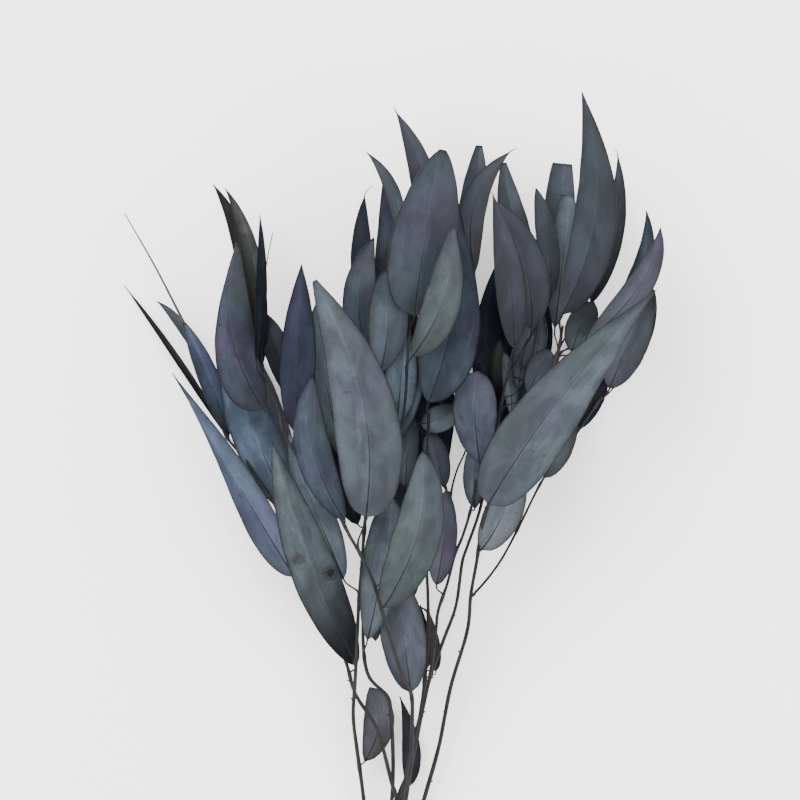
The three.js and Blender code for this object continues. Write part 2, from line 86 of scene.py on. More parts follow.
# %% The floor
FLOOR_SIZE = 12.0
FLOOR_COLOUR = (0.97, 0.97, 0.97, 1)
FLOOR_ROUGHNESS = 0.9
FLOOR_SHINE = 0.1


def new_material(name):
    """A material with nodes, and its shader."""
    material = bpy.data.materials.new(name)
    material.use_nodes = True
    return material, material.node_tree.nodes["Principled BSDF"]


half = FLOOR_SIZE / 2
floor_mesh = bpy.data.meshes.new("floor")
corners = [(-half, -half, 0), (half, -half, 0), (half, half, 0), (-half, half, 0)]
floor_mesh.from_pydata(corners, [], [(0, 1, 2, 3)])
floor = place_in_scene("floor", floor_mesh)
floor_material, floor_shader = new_material("pale floor")
floor_shader.inputs["Base Color"].default_value = FLOOR_COLOUR
floor_shader.inputs["Roughness"].default_value = FLOOR_ROUGHNESS
floor_shader.inputs["Specular IOR Level"].default_value = FLOOR_SHINE
floor.data.materials.append(floor_material)
print(f"floor {FLOOR_SIZE:.0f} m wide")

# %% [markdown]
# The light is a bright, even sky with two large soft lamps: one from the top left for a little shape, and a
# weaker one opposite. Small lamps would give hard shadows, which the photo doesn't have.

# %% The lights
SKY = 2.6
KEY = ("key", (-0.9, 1.5, 1.9), 95)  # place in metres, power in watts
FILL = ("fill", (1.6, -0.6, 1.6), 33)
LAMP_AIM = (0, 0.3, 0)
LAMP_SIZE = 1.6

world = bpy.data.worlds.new("studio")
world.use_nodes = True
world.node_tree.nodes["Background"].inputs["Color"].default_value = (1, 1, 1, 1)
world.node_tree.nodes["Background"].inputs["Strength"].default_value = SKY
bpy.context.scene.world = world


def soft_lamp(name, place, power):
    """A square lamp that the camera doesn't see."""
    data = bpy.data.lights.new(name, "AREA")
    data.size = LAMP_SIZE
    data.energy = power
    lamp = place_in_scene(name, data)
    lamp.location = place
    lamp.rotation_euler = (Vector(LAMP_AIM) - Vector(place)).to_track_quat("-Z", "Y").to_euler()
    lamp.visible_camera = False
    print(name, "lamp of", power, "W")


soft_lamp(*KEY)
soft_lamp(*FILL)

# %% [markdown]
# ## The table of the bunch
#
# Every stem, branch and leaf was read from the photo and written down in millimetres. X runs across the
# bunch, Y from the tie to the leaf tips, and Z up from the table. A route is two thicknesses and the points
# that a stem, and then each of its side branches, runs through. One row is one leaf: what it is, the tip,
# middle and base of its midrib, its greatest width, where that is along the blade, the heights of base and
# tip, the rise between them, its roll, its finish, and how light it is for that finish. That lightness is
# partly painted light: lighter where a leaf lies in the shade of those above it, and darker where shade
# falls on it.

# %% Stems and leaves
# The last part of a row, the tone, is partly painted light.
LEAF_PARTS = ("what", "tip", "middle", "base", "width", "widest", "base_z", "tip_z", "rise", "roll",
              "finish", "tone")
ROUTES = {}
LEAVES = {}
ROUTES["far_left"] = [
    (3.2, 1.6, [
        (8.8, 93.8, 24), (6.2, 102.5, 26), (-3.8, 138.1, 29), (-16.9, 159.4, 30), (-22.5, 178.8, 34),
        (-32.5, 203.1, 38), (-45, 225, 42), (-53.1, 243.8, 46), (-59.4, 260, 51), (-65, 276.2, 54),
        (-73.1, 288.8, 54), (-85, 305.6, 50), (-96.2, 318.8, 40), (-100.6, 326.2, 34),
    ]),
]
LEAVES["far_left"] = [
    ("thin dark sickle", (-163, 416), (-130, 371), (-98, 322), 4.4, 0.4, 30, -3, 0, 0.4, "black_olive", 1),
    ("blue short leaf", (-126, 395), (-110, 361), (-96, 321), 13.1, 0.42, 36, 32, 3, 1, "blue", 1),
    ("small tip behind", (-142, 406), (-126, 390), (-109, 362), 6.9, 0.4, 26, 12, 2, 0.2, "slate", 1),
    ("long blue", (-131, 361), (-94, 298), (-55, 233), 21.9, 0.27, 47, 56, 6, -0.8, "blue", 1),
    ("light blue broad", (-100, 375), (-82, 328), (-59, 274), 28.8, 0.42, 42, 34, 5, 0.5, "light_blue", 1.35),
    ("green big", (-68, 318), (-46, 247), (-16, 177), 28.8, 0.4, 38, 104, 8, 0.3, "green", 1.35),
    ("under left", (-90, 388), (-72, 329), (-56, 261), 25, 0.4, 34, -4, 0, -0.6, "slate", 1),
]
ROUTES["left"] = [
    (3.4, 1.5, [
        (15, 93.8, 33), (18.1, 116.2, 40), (18.8, 139.4, 49), (18.1, 160.6, 58), (12.5, 172.5, 63),
        (5.6, 193.8, 74), (0, 213.1, 84), (-6.2, 233.1, 90), (-13.8, 248.8, 91), (-20, 259.4, 88),
        (-25.6, 270, 84), (-35, 283.1, 80), (-45.6, 297.5, 75), (-53.8, 310.6, 71), (-61.9, 325, 66),
        (-64.4, 337.5, 62), (-71.2, 351.2, 58), (-75, 367.5, 54),
    ]),
]
LEAVES["left"] = [
    ("purple grey wide", (-91, 442), (-95, 389), (-74, 338), 30, 0.32, 62, 52, 5, 0.6, "purple_grey", 1.4),
    ("olive sickle one", (-106, 479), (-86, 432), (-81, 368), 12.5, 0.4, 50, 34, 2, -1, "black_olive", 1),
    ("olive sickle two", (-98, 476), (-81, 431), (-75, 365), 11.2, 0.4, 60, 56, 2, 0.8, "olive", 1.4),
    ("navy sliver", (-76, 459), (-75, 416), (-78, 368), 6.9, 0.4, 70, 73, 0, 1.2, "navy", 1),
    ("dark teal", (-78, 401), (-66, 377), (-54, 341), 16.9, 0.42, 62, 52, 0, 0.2, "dark_slate", 0.5),
    ("navy purple", (-50, 428), (-52, 376), (-54, 324), 22.5, 0.4, 74, 80, 4, -0.5, "navy_purple", 1.15),
    ("dark front left", (-43, 359), (-43, 314), (-23, 269), 22.5, 0.45, 86, 94, 3, -0.3, "dark_slate", 1.8),
    ("big light", (-41, 418), (-12, 346), (-10, 271), 41.2, 0.33, 97, 112, 6, -0.2, "light", 0.8),
    ("front", (25, 312), (23, 264), (1, 215), 30, 0.42, 90, 112, 6, 0.3, "green_grey", 1),
    ("grey low", (7, 236), (13, 198), (18, 161), 28.1, 0.5, 55.5, 56, 2, 0.2, "light", 0.74),
]
ROUTES["left_centre"] = [
    (3.2, 1.5, [
        (-11.9, 93.8, 10), (-15.6, 122.5, 22), (-18.1, 145.6, 34), (-16.9, 167.5, 43), (-15.6, 193.8, 54),
        (-14.4, 218.8, 63), (-12.5, 243.8, 66), (-10, 275, 62), (-6.2, 312.5, 58), (-2.5, 340.6, 58),
        (-1.9, 359.4, 60), (-5, 375, 57), (-8.8, 385.6, 54),
    ]),
]
LEAVES["left_centre"] = [
    ("grey blue left", (-59, 324), (-42, 276), (-24, 232), 21.9, 0.42, 61, 58, 3, 0.4, "light", 1.8),
    ("navy behind", (-36, 329), (-26, 295), (-15, 266), 15.6, 0.4, 60, 56, 2, 0.6, "navy", 1),
    ("narrow grey", (-41, 404), (-36, 362), (-26, 309), 18.8, 0.45, 64, 72, 4, 0.8, "green_grey", 1.5),
    ("dark tip", (-11, 472), (-13, 434), (-10, 384), 13.8, 0.4, 40, 22, 2, -0.8, "navy", 1),
    ("grey teal", (-5, 445), (-14, 409), (-9, 370), 21.2, 0.42, 60, 70, 3, -0.6, "slate_blue", 0.68),
    ("dark slate", (2, 486), (8, 431), (-2, 378), 25.6, 0.4, 50, 50, 3, 0.5, "slate", 1),
    ("behind kite", (12, 430), (11, 389), (1, 348), 22.5, 0.45, 52, 48, 2, -0.2, "dark_slate", 1),
    ("kite", (2, 425), (4, 394), (-1, 361), 25, 0.5, 70, 77, 2, 0.3, "slate", 1.6),
    ("dark behind teal", (20, 382), (14, 351), (6, 316), 22.5, 0.45, 54, 56, 2, -0.2, "slate", 1.6),
    ("teal blue", (14, 395), (12, 359), (9, 329), 20, 0.45, 60, 64, 2, 0.4, "slate_blue", 2),
    ("small hanging", (-8, 163), (-2, 141), (-11, 116), 19.4, 0.5, 19, 16, 2, 0.5, "mauve", 1.3),
    ("under centre left", (-23, 394), (-11, 338), (-9, 275), 25, 0.4, 44, -4, 2, 0.6, "slate", 1),
    ("under centre", (30, 480), (18, 441), (4, 384), 20, 0.4, 44, -2, 2, -0.6, "slate", 1),
]
ROUTES["centre"] = [
    (3.0, 1.5, [
        (6.2, 93.8, 17), (6.9, 110, 20), (5.6, 146.9, 28), (3.8, 156.9, 30), (-8.1, 170, 34),
        (-11.9, 193.8, 42), (-10, 225, 50), (-5.6, 243.8, 55), (2.5, 275, 60), (10, 312.5, 66),
        (14.4, 342.5, 67), (16.2, 375, 69), (18.1, 406.2, 68), (20.6, 430, 68), (23.1, 440, 68),
    ]),
]
LEAVES["centre"] = [
    ("light sickle", (-9, 498), (6, 475), (12, 444), 9.4, 0.4, 62, 56, 2, -0.6, "slate", 1),
    ("leaf with sharp tip", (9, 523), (25, 484), (29, 442), 16.2, 0.4, 72, 66, 2, 0.4, "slate", 0.8),
    ("central", (38, 499), (27, 444), (20, 396), 42.5, 0.4, 82, 92, 5, 0.2, "slate_blue", 0.64),
    ("greenish", (45, 452), (39, 408), (19, 371), 23.8, 0.42, 88, 104, 4, -0.4, "green_grey", 0.9),
    ("purple grey low", (5, 284), (1, 244), (-9, 194), 25.6, 0.5, 62.5, 76, 4, 0.2, "green_grey", 1.8),
    ("pointing down", (-4, 193), (-5, 206), (-7, 220), 8.8, 0.5, 56, 54, 0, 0.2, "slate", 1),
]
ROUTES["middle"] = [
    (3.0, 1.5, [
        (10.6, 93.8, 14), (16.2, 109.4, 17), (21.2, 131.2, 20), (26.2, 162.5, 22), (28.8, 193.8, 28),
        (28.8, 218.8, 34), (27.5, 250, 42), (26.9, 281.2, 48), (28.1, 312.5, 56), (29.4, 336.2, 63),
    ]),
    (1.8, 1.2, [
        (26.9, 279.4, 48), (28.8, 295, 43), (31.9, 311.2, 40), (35, 331.2, 38), (40, 356.2, 37),
        (47.5, 387.5, 38), (55, 417.5, 40),
    ]),
]
LEAVES["middle"] = [
    ("slate blue large", (48, 466), (46, 404), (29, 342), 37.5, 0.35, 70, 80, 3, -0.3, "dark_slate", 2.3),
    ("blunt back", (61, 504), (58, 475), (52, 441), 16.2, 0.35, 34, 20, 1, 0.6, "slate", 1),
    ("hook", (80, 499), (58, 467), (58, 424), 16.2, 0.4, 42, 50, 1, -1, "purple_grey", 1),
    ("small left", (21, 332), (16, 309), (15, 289), 13.1, 0.5, 42, 41, 2, 0.6, "green_grey", 1.5),
    ("brown green", (29, 212), (32, 191), (34, 173), 8.8, 0.4, 20, 28, 0, 0.8, "olive", 1),
    ("brown dark", (24, 215), (26, 194), (28, 174), 8.8, 0.4, 18, 24, 0, -0.6, "black_olive", 1),
    ("narrow dark low", (11, 157), (18, 128), (17, 100), 11.9, 0.35, 12, 7, 0, 0.6, "plum", 1),
    ("under right of centre", (41, 446), (41, 400), (36, 344), 23.8, 0.4, 36, -4, 2, 0.4, "slate", 1),
    ("dark centre behind", (40, 374), (26, 319), (16, 264), 36.2, 0.45, 30, 31, 2, 0.1, "navy", 2),
    ("under front", (27, 292), (18, 262), (19, 219), 20, 0.45, 28, 2, 2, -0.6, "dark_slate", 1),
]
ROUTES["right_centre"] = [
    (3.0, 1.5, [
        (13.8, 93.8, 27), (19.4, 118.8, 31), (24.4, 143.8, 36), (30, 171.2, 41), (33.8, 200, 45),
        (35, 211.2, 47), (40.6, 228.1, 51), (45.6, 246.9, 55), (50.6, 259.4, 58), (55.6, 276.2, 60),
        (60, 298.8, 54), (64.4, 321.9, 48), (67.5, 338.8, 45),
    ]),
    (1.6, 1.2, [
        (45.6, 245.6, 55), (41.9, 268.8, 50), (41.9, 279.4, 48), (40, 289.4, 45), (34.4, 309.4, 46),
        (28.8, 323.8, 48),
    ]),
    (1.4, 1.0, [
        (41.9, 276.2, 48), (43.8, 288.8, 50), (46.9, 300, 52), (51.9, 311.2, 54), (55.6, 322.5, 56),
    ]),
]
LEAVES["right_centre"] = [
    ("purple middle", (60, 362), (58, 335), (61, 305), 27.5, 0.55, 62, 66, 3, 0.3, "purple", 1.5),
    ("dark strip", (72, 430), (66, 382), (67, 339), 18.8, 0.4, 42, 40, 0, 1.2, "navy", 1.5),
    ("brownish", (74, 382), (72, 364), (71, 344), 10, 0.45, 47, 49, 0, -0.8, "olive", 1.5),
    ("small grey", (49, 340), (36, 332), (24, 329), 16.9, 0.5, 54, 54, 1, 0.2, "green_grey", 1.9),
    ("small slate", (29, 324), (34, 308), (39, 289), 15.6, 0.5, 50, 49, 1, -0.4, "slate", 1.7),
    ("purple behind front", (40, 288), (38, 255), (34, 228), 17.5, 0.5, 58, 80, 3, 0.4, "purple", 1),
    ("green grey narrow", (61, 324), (58, 300), (58, 276), 14.4, 0.45, 56, 54, 0, -0.8, "green_grey", 1.5),
]
ROUTES["right"] = [
    (3.2, 1.5, [
        (12.5, 93.8, 20), (23.1, 141.9, 26), (31.2, 172.5, 32), (38.8, 193.8, 36), (46.2, 214.4, 40),
        (50.6, 243.8, 44), (53.8, 253.1, 46), (61.2, 275, 50), (67.5, 306.2, 54), (73.8, 337.5, 58),
        (78.8, 362.5, 64), (81.9, 375, 70),
    ]),
    (1.6, 1.2, [
        (77.5, 356.2, 62), (89.4, 377.5, 64), (98.8, 393.8, 67), (105, 407.5, 69),
    ]),
]
LEAVES["right"] = [
    ("dark purple one", (69, 471), (79, 422), (82, 376), 18.8, 0.4, 80, 88, 4, -0.4, "purple_grey", 0.72),
    ("dark purple two", (72, 468), (89, 428), (93, 388), 26.2, 0.42, 74, 76, 4, 0.3, "purple_grey", 1),
    ("dark narrow", (96, 476), (103, 444), (106, 409), 13.8, 0.45, 70, 66, 2, 0.6, "purple_grey", 0.8),
    ("blunt tip leaf", (76, 492), (82, 455), (94, 411), 18.8, 0.35, 60, 56, 2, 0.4, "slate", 1),
    ("light green one", (94, 399), (89, 376), (85, 351), 12.5, 0.5, 54, 52, 0, 1, "green_grey", 2),
    ("light green two", (76, 374), (80, 355), (81, 334), 9.4, 0.5, 53, 52, 0, 0.6, "green_grey", 2),
    ("light green three", (99, 399), (98, 380), (92, 359), 10, 0.5, 50, 50, 0, -0.8, "green_grey", 1.8),
    ("purple short", (105, 375), (99, 364), (91, 348), 16.2, 0.5, 52, 58, 0, 0.6, "purple_grey", 1.5),
    ("dark back", (78, 418), (81, 375), (74, 325), 27.5, 0.45, 30, 20, 2, -0.1, "navy", 1.3),
    ("second dark back", (99, 414), (95, 375), (82, 335), 22.5, 0.45, 44, 36, 2, 0.2, "navy_purple", 1.3),
    ("under right purple", (84, 444), (87, 416), (81, 369), 18.8, 0.4, 50, 4, 2, 0.6, "navy", 1),
]
ROUTES["far_right"] = [
    (3.4, 1.6, [
        (26.9, 93.8, 12), (35.6, 125, 16), (43.1, 163.1, 24), (53.8, 200.6, 34), (55.6, 221.2, 40),
        (59.4, 243.8, 50), (61.9, 262.5, 62), (65.6, 276.2, 74), (72.5, 293.8, 76), (86.2, 318.8, 76),
        (101.9, 350, 74), (110, 375, 72), (112.5, 390, 76),
    ]),
    (1.7, 1.2, [
        (55.6, 220, 40), (65.6, 231.2, 44), (75, 244.4, 47), (85.6, 264.4, 52), (100.6, 294.4, 60),
        (112.5, 311.2, 62), (123.8, 326.2, 62), (137.5, 346.2, 60),
    ]),
]
LEAVES["far_right"] = [
    ("big right", (170, 412), (112, 347), (66, 279), 40.6, 0.28, 90, 108, 8, 0.3, "light", 0.9),
    ("tall", (124, 535), (134, 466), (112, 397), 27.5, 0.36, 84, 96, 5, -0.6, "slate_blue", 0.48),
    ("purple blue", (173, 451), (161, 416), (126, 379), 16.9, 0.4, 80, 84, 3, 0.8, "purple", 1),
    ("narrow dark far", (147, 496), (145, 451), (130, 404), 12.5, 0.4, 72, 70, 2, -0.8, "slate", 1.5),
    ("dark green grey", (165, 462), (162, 426), (140, 389), 12.5, 0.4, 68, 60, 2, -0.4, "dark_slate", 2),
    ("blunt slate", (113, 492), (111, 453), (111, 403), 20, 0.35, 48, 42, 2, 0.4, "slate", 1),
    ("light leaf", (116, 472), (113, 434), (108, 389), 17.5, 0.4, 60, 57, 2, 0.4, "light", 1.1),
    ("brown grey small", (132, 405), (124, 390), (118, 374), 18.8, 0.5, 72, 76, 0, 0.4, "green_grey", 0.85),
    ("grey under big", (168, 412), (153, 378), (142, 351), 25, 0.5, 64, 66, 2, 0.5, "slate", 0.95),
    ("outer under big", (169, 415), (161, 382), (144, 351), 13.8, 0.5, 60, 48, 0, -0.4, "slate", 1),
    ("navy small", (141, 361), (132, 341), (121, 325), 10, 0.5, 62, 58, 0, 0.6, "navy", 1),
    ("grey low right", (118, 341), (111, 316), (101, 295), 17.5, 0.5, 66, 80, 2, 0.4, "green_grey", 1),
    ("green grey pale", (83, 301), (76, 274), (62, 250), 23.8, 0.5, 56, 70, 2, 0.3, "pale", 1.25),
    ("under right", (144, 391), (111, 347), (77, 289), 26.2, 0.4, 50, -5, 2, -0.6, "slate", 1),
    ("under tall", (132, 500), (134, 456), (121, 395), 16.9, 0.4, 56, 14, 2, 0.8, "slate", 1),
]

# %% [markdown]
# Some leaves have more to them: a cut-off tip, where the end of the blade is missing, a broadest point that
# lies further on at one side of the midrib than at the other, or blunter ends. Two leaves end in a long dry
# thread.

# %% Unusual leaves and threads
# The share of the length that is left, how far the broadest point shifts, and how fine the ends are
USUAL = {"cut": 1, "lean": 0, "fineness": 0.65}
UNUSUAL = {
    "long blue": {"lean": -0.07},
    "purple grey wide": {"lean": -0.12, "fineness": 0.55},
    "big light": {"cut": 0.98, "lean": 0.04, "fineness": 0.45},
    "front": {"fineness": 0.52},
    "grey low": {"fineness": 0.55},
    "dark slate": {"fineness": 0.5},
    "central": {"cut": 0.99, "fineness": 0.45},
    "greenish": {"lean": 0.08},
    "slate blue large": {"lean": 0.07},
    "blunt back": {"cut": 0.87},
    "blunt tip leaf": {"cut": 0.9},
    "big right": {"fineness": 0.45},
    "tall": {"lean": 0.06},
    "blunt slate": {"cut": 0.7},
    "light leaf": {"cut": 0.83},
    "green grey pale": {"fineness": 0.52},
}
# By stem: two thicknesses, the share of the thread that lies on its leaf and isn't drawn, and its points
THREADS = {
    "far_left": (2.0, 0.7, 0.2, [
        (-115, 375, 35), (-124.4, 392.5, 34), (-142.5, 427.5, 32), (-161.9, 461.2, 27),
    ]),
    "left": (1.0, 0.6, 0.66, [
        (-76.9, 382.5, 71), (-73.8, 411.2, 72), (-71.2, 432.5, 71), (-68.1, 448.1, 66),
    ]),
}


def leaves_of(name):
    """The leaves of a stem, each as a dictionary."""
    return [{**dict(zip(LEAF_PARTS, row)), **USUAL, **UNUSUAL.get(row[0], {})} for row in LEAVES[name]]


print(sum(len(rows) for rows in LEAVES.values()), "leaves on", len(ROUTES), "stems")

# %% [markdown]
# ## The lines of the stems
#
# A stem runs through a few points, and a smooth curve joins them. The curve is a centripetal Catmull-Rom
# spline, which passes through every point and doesn't swing out where the points lie unevenly. The first
# points are set the same way for all stems: a cut end, and a straight run through a place in the tie.

# %% Smooth lines
TIE_HEIGHT = 8  # of the tie's middle over the table
STEM_RING = 4.4  # distance of the outer stems in the tie from the middle one
TIE_STRAIGHT = 12
CUT_END = 60
END_SPREAD = (2.2, 1.2)  # how far the cut ends fan out, in x and z
PLACES = {  # angle in the tie (none for the middle one), and how much longer the cut end is
    "far_left": (124, 4), "left": (73, -3), "left_centre": (176, 1), "centre": (227, -6),
    "middle": (279, 5), "right_centre": (21, 2), "right": (None, -8), "far_right": (330, 7),
}
PER_STRETCH = 16
LINE_STEP = 2.0


def unit(vectors):
    """The same directions with a length of 1."""
    return vectors / np.maximum(np.linalg.norm(vectors, axis=-1, keepdims=True), 1e-9)


def root_of(name):
    """The cut end of a stem, and the straight run through its place in the tie."""
    angle, longer = PLACES[name]
    radius = 0 if angle is None else STEM_RING
    x = radius * math.cos(math.radians(angle or 0))
    z = radius * math.sin(math.radians(angle or 0))
    end = (x * END_SPREAD[0], -CUT_END - longer, TIE_HEIGHT + z * END_SPREAD[1])
    return [end, (x, -TIE_STRAIGHT, TIE_HEIGHT + z), (x, TIE_STRAIGHT, TIE_HEIGHT + z)]


def smooth_line(points):
    """Points along a centripetal Catmull-Rom spline."""
    p = np.array(points, float)
    p = np.vstack([2 * p[0] - p[1], p, 2 * p[-1] - p[-2]])
    t = np.linspace(0, 1, PER_STRETCH, endpoint=False)[:, None]
    made = []
    for a, b, c, d in zip(p, p[1:], p[2:], p[3:]):
        ab, bc, cd = (math.sqrt(max(np.linalg.norm(q), 1e-6)) for q in (b - a, c - b, d - c))
        out = ((b - a) / ab - (c - a) / (ab + bc) + (c - b) / bc) * bc
        into = ((c - b) / bc - (d - b) / (bc + cd) + (d - c) / cd) * bc
        square = (3 * (c - b) - 2 * out - into) * t**2
        made.append(b + out * t + square + (2 * (b - c) + out + into) * t**3)
    return np.vstack([*made, p[-2:-1]])


def even(line, step):
    """The same line with its points evenly apart."""
    lengths = np.r_[0, np.cumsum(np.linalg.norm(np.diff(line, axis=0), axis=1))]
    count = max(int(round(lengths[-1] / step)), 2)
    at = np.linspace(0, lengths[-1], count + 1)
    return np.column_stack([np.interp(at, lengths, line[:, i]) for i in range(3)])


LINES = {}
for name, ((thick, thin, points), *branches) in ROUTES.items():
    routes = [(thick, thin, root_of(name) + points), *branches]
    LINES[name] = [(thick, thin, even(smooth_line(route), LINE_STEP)) for thick, thin, route in routes]
print("longest stem", max(len(lines[0][2]) * LINE_STEP for lines in LINES.values()), "mm")

# %% [markdown]
# ## One leaf
#
# A eucalyptus blade is broadest near its base and draws out to a curved tip. The half width follows a
# formula with one peak, like a bent teardrop. The midrib is a plain curve with one bend. The two together
# give the middle surface: the blade rises a little from its midrib to both margins, like a shallow trough,
# and rolls to one side, more at the base than at the tip.

# %% The middle surface of a leaf
TROUGH = 0.12  # rise of the margins, as a share of the half width
ROLL_FADE = (1.4, 0.1)  # how much of a leaf's roll there is at its base and at its tip
LEAST_HALF_WIDTH = 0.25
LOWEST = 0.3  # no leaf is nearer to the table than this


def half_share(t, widest, fineness):
    """Half the width as a share of the greatest, at t from base 0 to tip 1."""
    t = np.clip(t, 1e-6, 1 - 1e-6)
    sharpness = fineness * (1 - widest) / widest
    return (t / widest) ** fineness * ((1 - t) / (1 - widest)) ** sharpness


def leaf_surface(leaf, t, s, waves=None):
    """Points at t along the midrib and s across the blade, from -1 to 1, in mm, and the half width there."""
    tip, middle, base = (np.array(leaf[key], float) for key in ("tip", "middle", "base"))
    bend = 2 * middle - (tip + base) / 2
    t, s = np.broadcast_arrays(np.asarray(t, float), np.asarray(s, float))
    at = (1 - t)[..., None] ** 2 * base + 2 * (t * (1 - t))[..., None] * bend + t[..., None] ** 2 * tip
    along = unit((1 - t)[..., None] * (bend - base) + t[..., None] * (tip - bend))
    share = half_share(t * leaf["cut"], leaf["widest"] + leaf["lean"] * s, leaf["fineness"])
    half = np.maximum(leaf["width"] / 2 * share, LEAST_HALF_WIDTH)
    if waves:
        half = half * (1 + waves["ripple"](t, s))
    roll = leaf["roll"] * (ROLL_FADE[0] + (ROLL_FADE[1] - ROLL_FADE[0]) * t)
    z = leaf["base_z"] + (leaf["tip_z"] - leaf["base_z"]) * t + leaf["rise"] * 4 * t * (1 - t)
    z = z + half * (roll * s + TROUGH * s * s)
    if waves:
        z = z + waves["lift"](t, s, half)
    x = at[..., 0] - along[..., 1] * half * s
    y = at[..., 1] + along[..., 0] * half * s
    return np.stack([x, y, np.maximum(z, LOWEST)], axis=-1), half


print("half width at a quarter, half and three quarters:", half_share(np.array([0.25, 0.5, 0.75]), 0.4, 0.65))

# %% [markdown]
# Dried leaves aren't flat. Small waves along the margins, a slight twist and a rippled outline, each a sine
# with a seeded phase, keep a blade from looking like sheet metal. They fade out at the base and the tip.

# %% Waves
USUAL_WIDTH = 40  # the waves have their full height on a leaf this wide
RIPPLE = 0.012  # of the outline, as a share of the half width
MARGIN_HEIGHT = (0.5, 1.0)
TWIST_HEIGHT = (-0.6, 0.6)
WAVE_TURNS = ((1.2, 2.2), (2.5, 4.0), (3.5, 6.0))  # of the twist, the margins and the outline


def waves_for(rng, leaf):
    """The seeded differences of one leaf."""
    size = leaf["width"] / USUAL_WIDTH
    phase = [rng.uniform(0, 2 * math.pi) for _ in range(6)]
    turns = [rng.uniform(*span) for span in WAVE_TURNS]
    edge = rng.uniform(*MARGIN_HEIGHT) * size
    bow = rng.uniform(*TWIST_HEIGHT) * size

    def ripple(t, s):
        side = np.where(s < 0, phase[0], phase[1])
        return RIPPLE * np.sin(2 * math.pi * turns[2] * t + side) * np.sin(math.pi * t)

    def lift(t, s, half):
        side = np.where(s < 0, phase[2], phase[3])
        margin = edge * s * s * np.sin(2 * math.pi * turns[1] * t + side)
        twist = bow * s * np.sin(2 * math.pi * turns[0] * t + phase[4])
        return (margin + twist) * np.sin(math.pi * np.clip(t, 0, 1)) ** 0.5

    return {"ripple": ripple, "lift": lift}


print("waves:", sorted(waves_for(random.Random(1), {"width": USUAL_WIDTH})))

# %% [markdown]
# The blade is a closed shell: an upper and a lower face a third of a millimetre apart, joined round the
# margin. Rows of points lie closer at the midrib and at the margin, because that is where the surface bends:
# the midrib is a fine groove above, and the margin is slightly thickened.

# %% Points and faces of a blade
ACROSS = np.array([-1, -0.95, -0.8, -0.58, -0.34, -0.16, -0.06, 0, 0.06, 0.16, 0.34, 0.58, 0.8, 0.95, 1])
STEP_ALONG = 3.0
FEWEST_ROWS = 14
THICKNESS = 0.34
MARGIN_EXTRA = 0.12
MARGIN_POWER = 8  # the higher, the nearer to the margin the thickening starts
GROOVE = (0.28, 0.9)  # depth and half width of the groove over the midrib
GROOVE_FADE = 0.7  # how fast the groove ends near the tip
GROOVE_BELOW = 0.7  # share of the groove's depth by which the midrib stands out below
LOWEST_POINT = 0.05


def blade_sides(leaf, t, s, waves):
    """The points of the upper and then the lower face, and the half widths."""
    points, half = leaf_surface(leaf, t, s, waves)
    normal = unit(np.cross(np.gradient(points, axis=1), np.gradient(points, axis=0)))
    normal *= np.sign(normal[..., 2:3])
    depth, reach = GROOVE
    groove = (depth * np.exp(-((half * s / reach) ** 2)) * (1 - t) ** GROOVE_FADE)[..., None]
    thick = (THICKNESS + MARGIN_EXTRA * np.abs(s) ** MARGIN_POWER)[..., None]
    upper = points + normal * (thick / 2) - groove * normal
    lower = points - normal * (thick / 2) - GROOVE_BELOW * groove * normal
    both = np.vstack([upper.reshape(-1, 3), lower.reshape(-1, 3)])
    both[:, 2] = np.maximum(both[:, 2], LOWEST_POINT)
    return both, half


def grid_faces(rows, columns, flip):
    """Faces over a grid of points, all one way round, which flip turns over."""
    made = []
    for i in range(rows - 1):
        for j in range(columns - 1):
            a = i * columns + j
            face = (a, a + 1, a + columns + 1, a + columns)
            made.append(face[::-1] if flip else face)
    return made


def blade_faces(rows, columns):
    """The upper and lower faces and the rim between them, and which of all these are smooth."""
    count = rows * columns
    faces = grid_faces(rows, columns, flip=True)
    faces += [tuple(i + count for i in face) for face in grid_faces(rows, columns, flip=False)]
    rim = [i * columns for i in range(rows)] + [(rows - 1) * columns + j for j in range(1, columns)]
    rim += [i * columns + columns - 1 for i in range(rows - 2, -1, -1)] + list(range(columns - 2, 0, -1))
    edge = [(a, b, b + count, a + count) for a, b in zip(rim, rim[1:] + rim[:1])]
    return faces + edge, [True] * len(faces) + [False] * len(edge)


print("faces of the smallest blade:", len(blade_faces(FEWEST_ROWS, len(ACROSS))[0]))

# %% [markdown]
# All blades of a stem go into one mesh, and so do all its tubes of wood. A collector gathers them with what
# each point carries for the material, and one function makes the object.

# %% From parts to an object


class Collector:
    """Collects the points, faces and attributes of many blades or tubes for one mesh."""

    def __init__(self):
        self.points, self.faces, self.smooth, self.finish, self.values = [], [], [], [], {}

    def add(self, points, faces, smooth, finish, values):
        """Takes points in mm and stores them in metres."""
        start = len(self.points)
        self.points.extend((points * MM).tolist())
        self.faces.extend(tuple(start + i for i in face) for face in faces)
        self.smooth.extend(smooth)
        self.finish.extend([finish] * len(faces))
        for key, made in values.items():
            self.values.setdefault(key, []).extend(made)


def object_from(name, made, materials):
    """A mesh object with its attributes and materials."""
    mesh = bpy.data.meshes.new(name)
    mesh.from_pydata(made.points, [], made.faces)
    mesh.polygons.foreach_set("use_smooth", made.smooth)
    for key, values in made.values.items():
        values = np.array(values, np.float32)
        kind, part = ("FLOAT_VECTOR", "vector") if values.ndim == 2 else ("FLOAT", "value")
        mesh.attributes.new(key, kind, "POINT").data.foreach_set(part, values.ravel())
    for material in materials:
        mesh.materials.append(material)
    mesh.polygons.foreach_set("material_index", made.finish)
    mesh.update()
    return place_in_scene(name, mesh)


print("a new collector holds", len(Collector().points), "points")

# %% [markdown]
# Each point of a blade carries how far it is along and across its blade in mm, how far from the margin, how
# deep in a brown blotch, and two numbers that are the same all over a leaf: one drawn by chance, and one for
# how light it is. That lightness is partly painted light: a leaf that lies in the shade of those above it is
# painted lighter, and one on which shade falls is painted darker.

# %% Blades
TONE_RANGE = (0.95, 1.05)  # a small change of each leaf's own tone
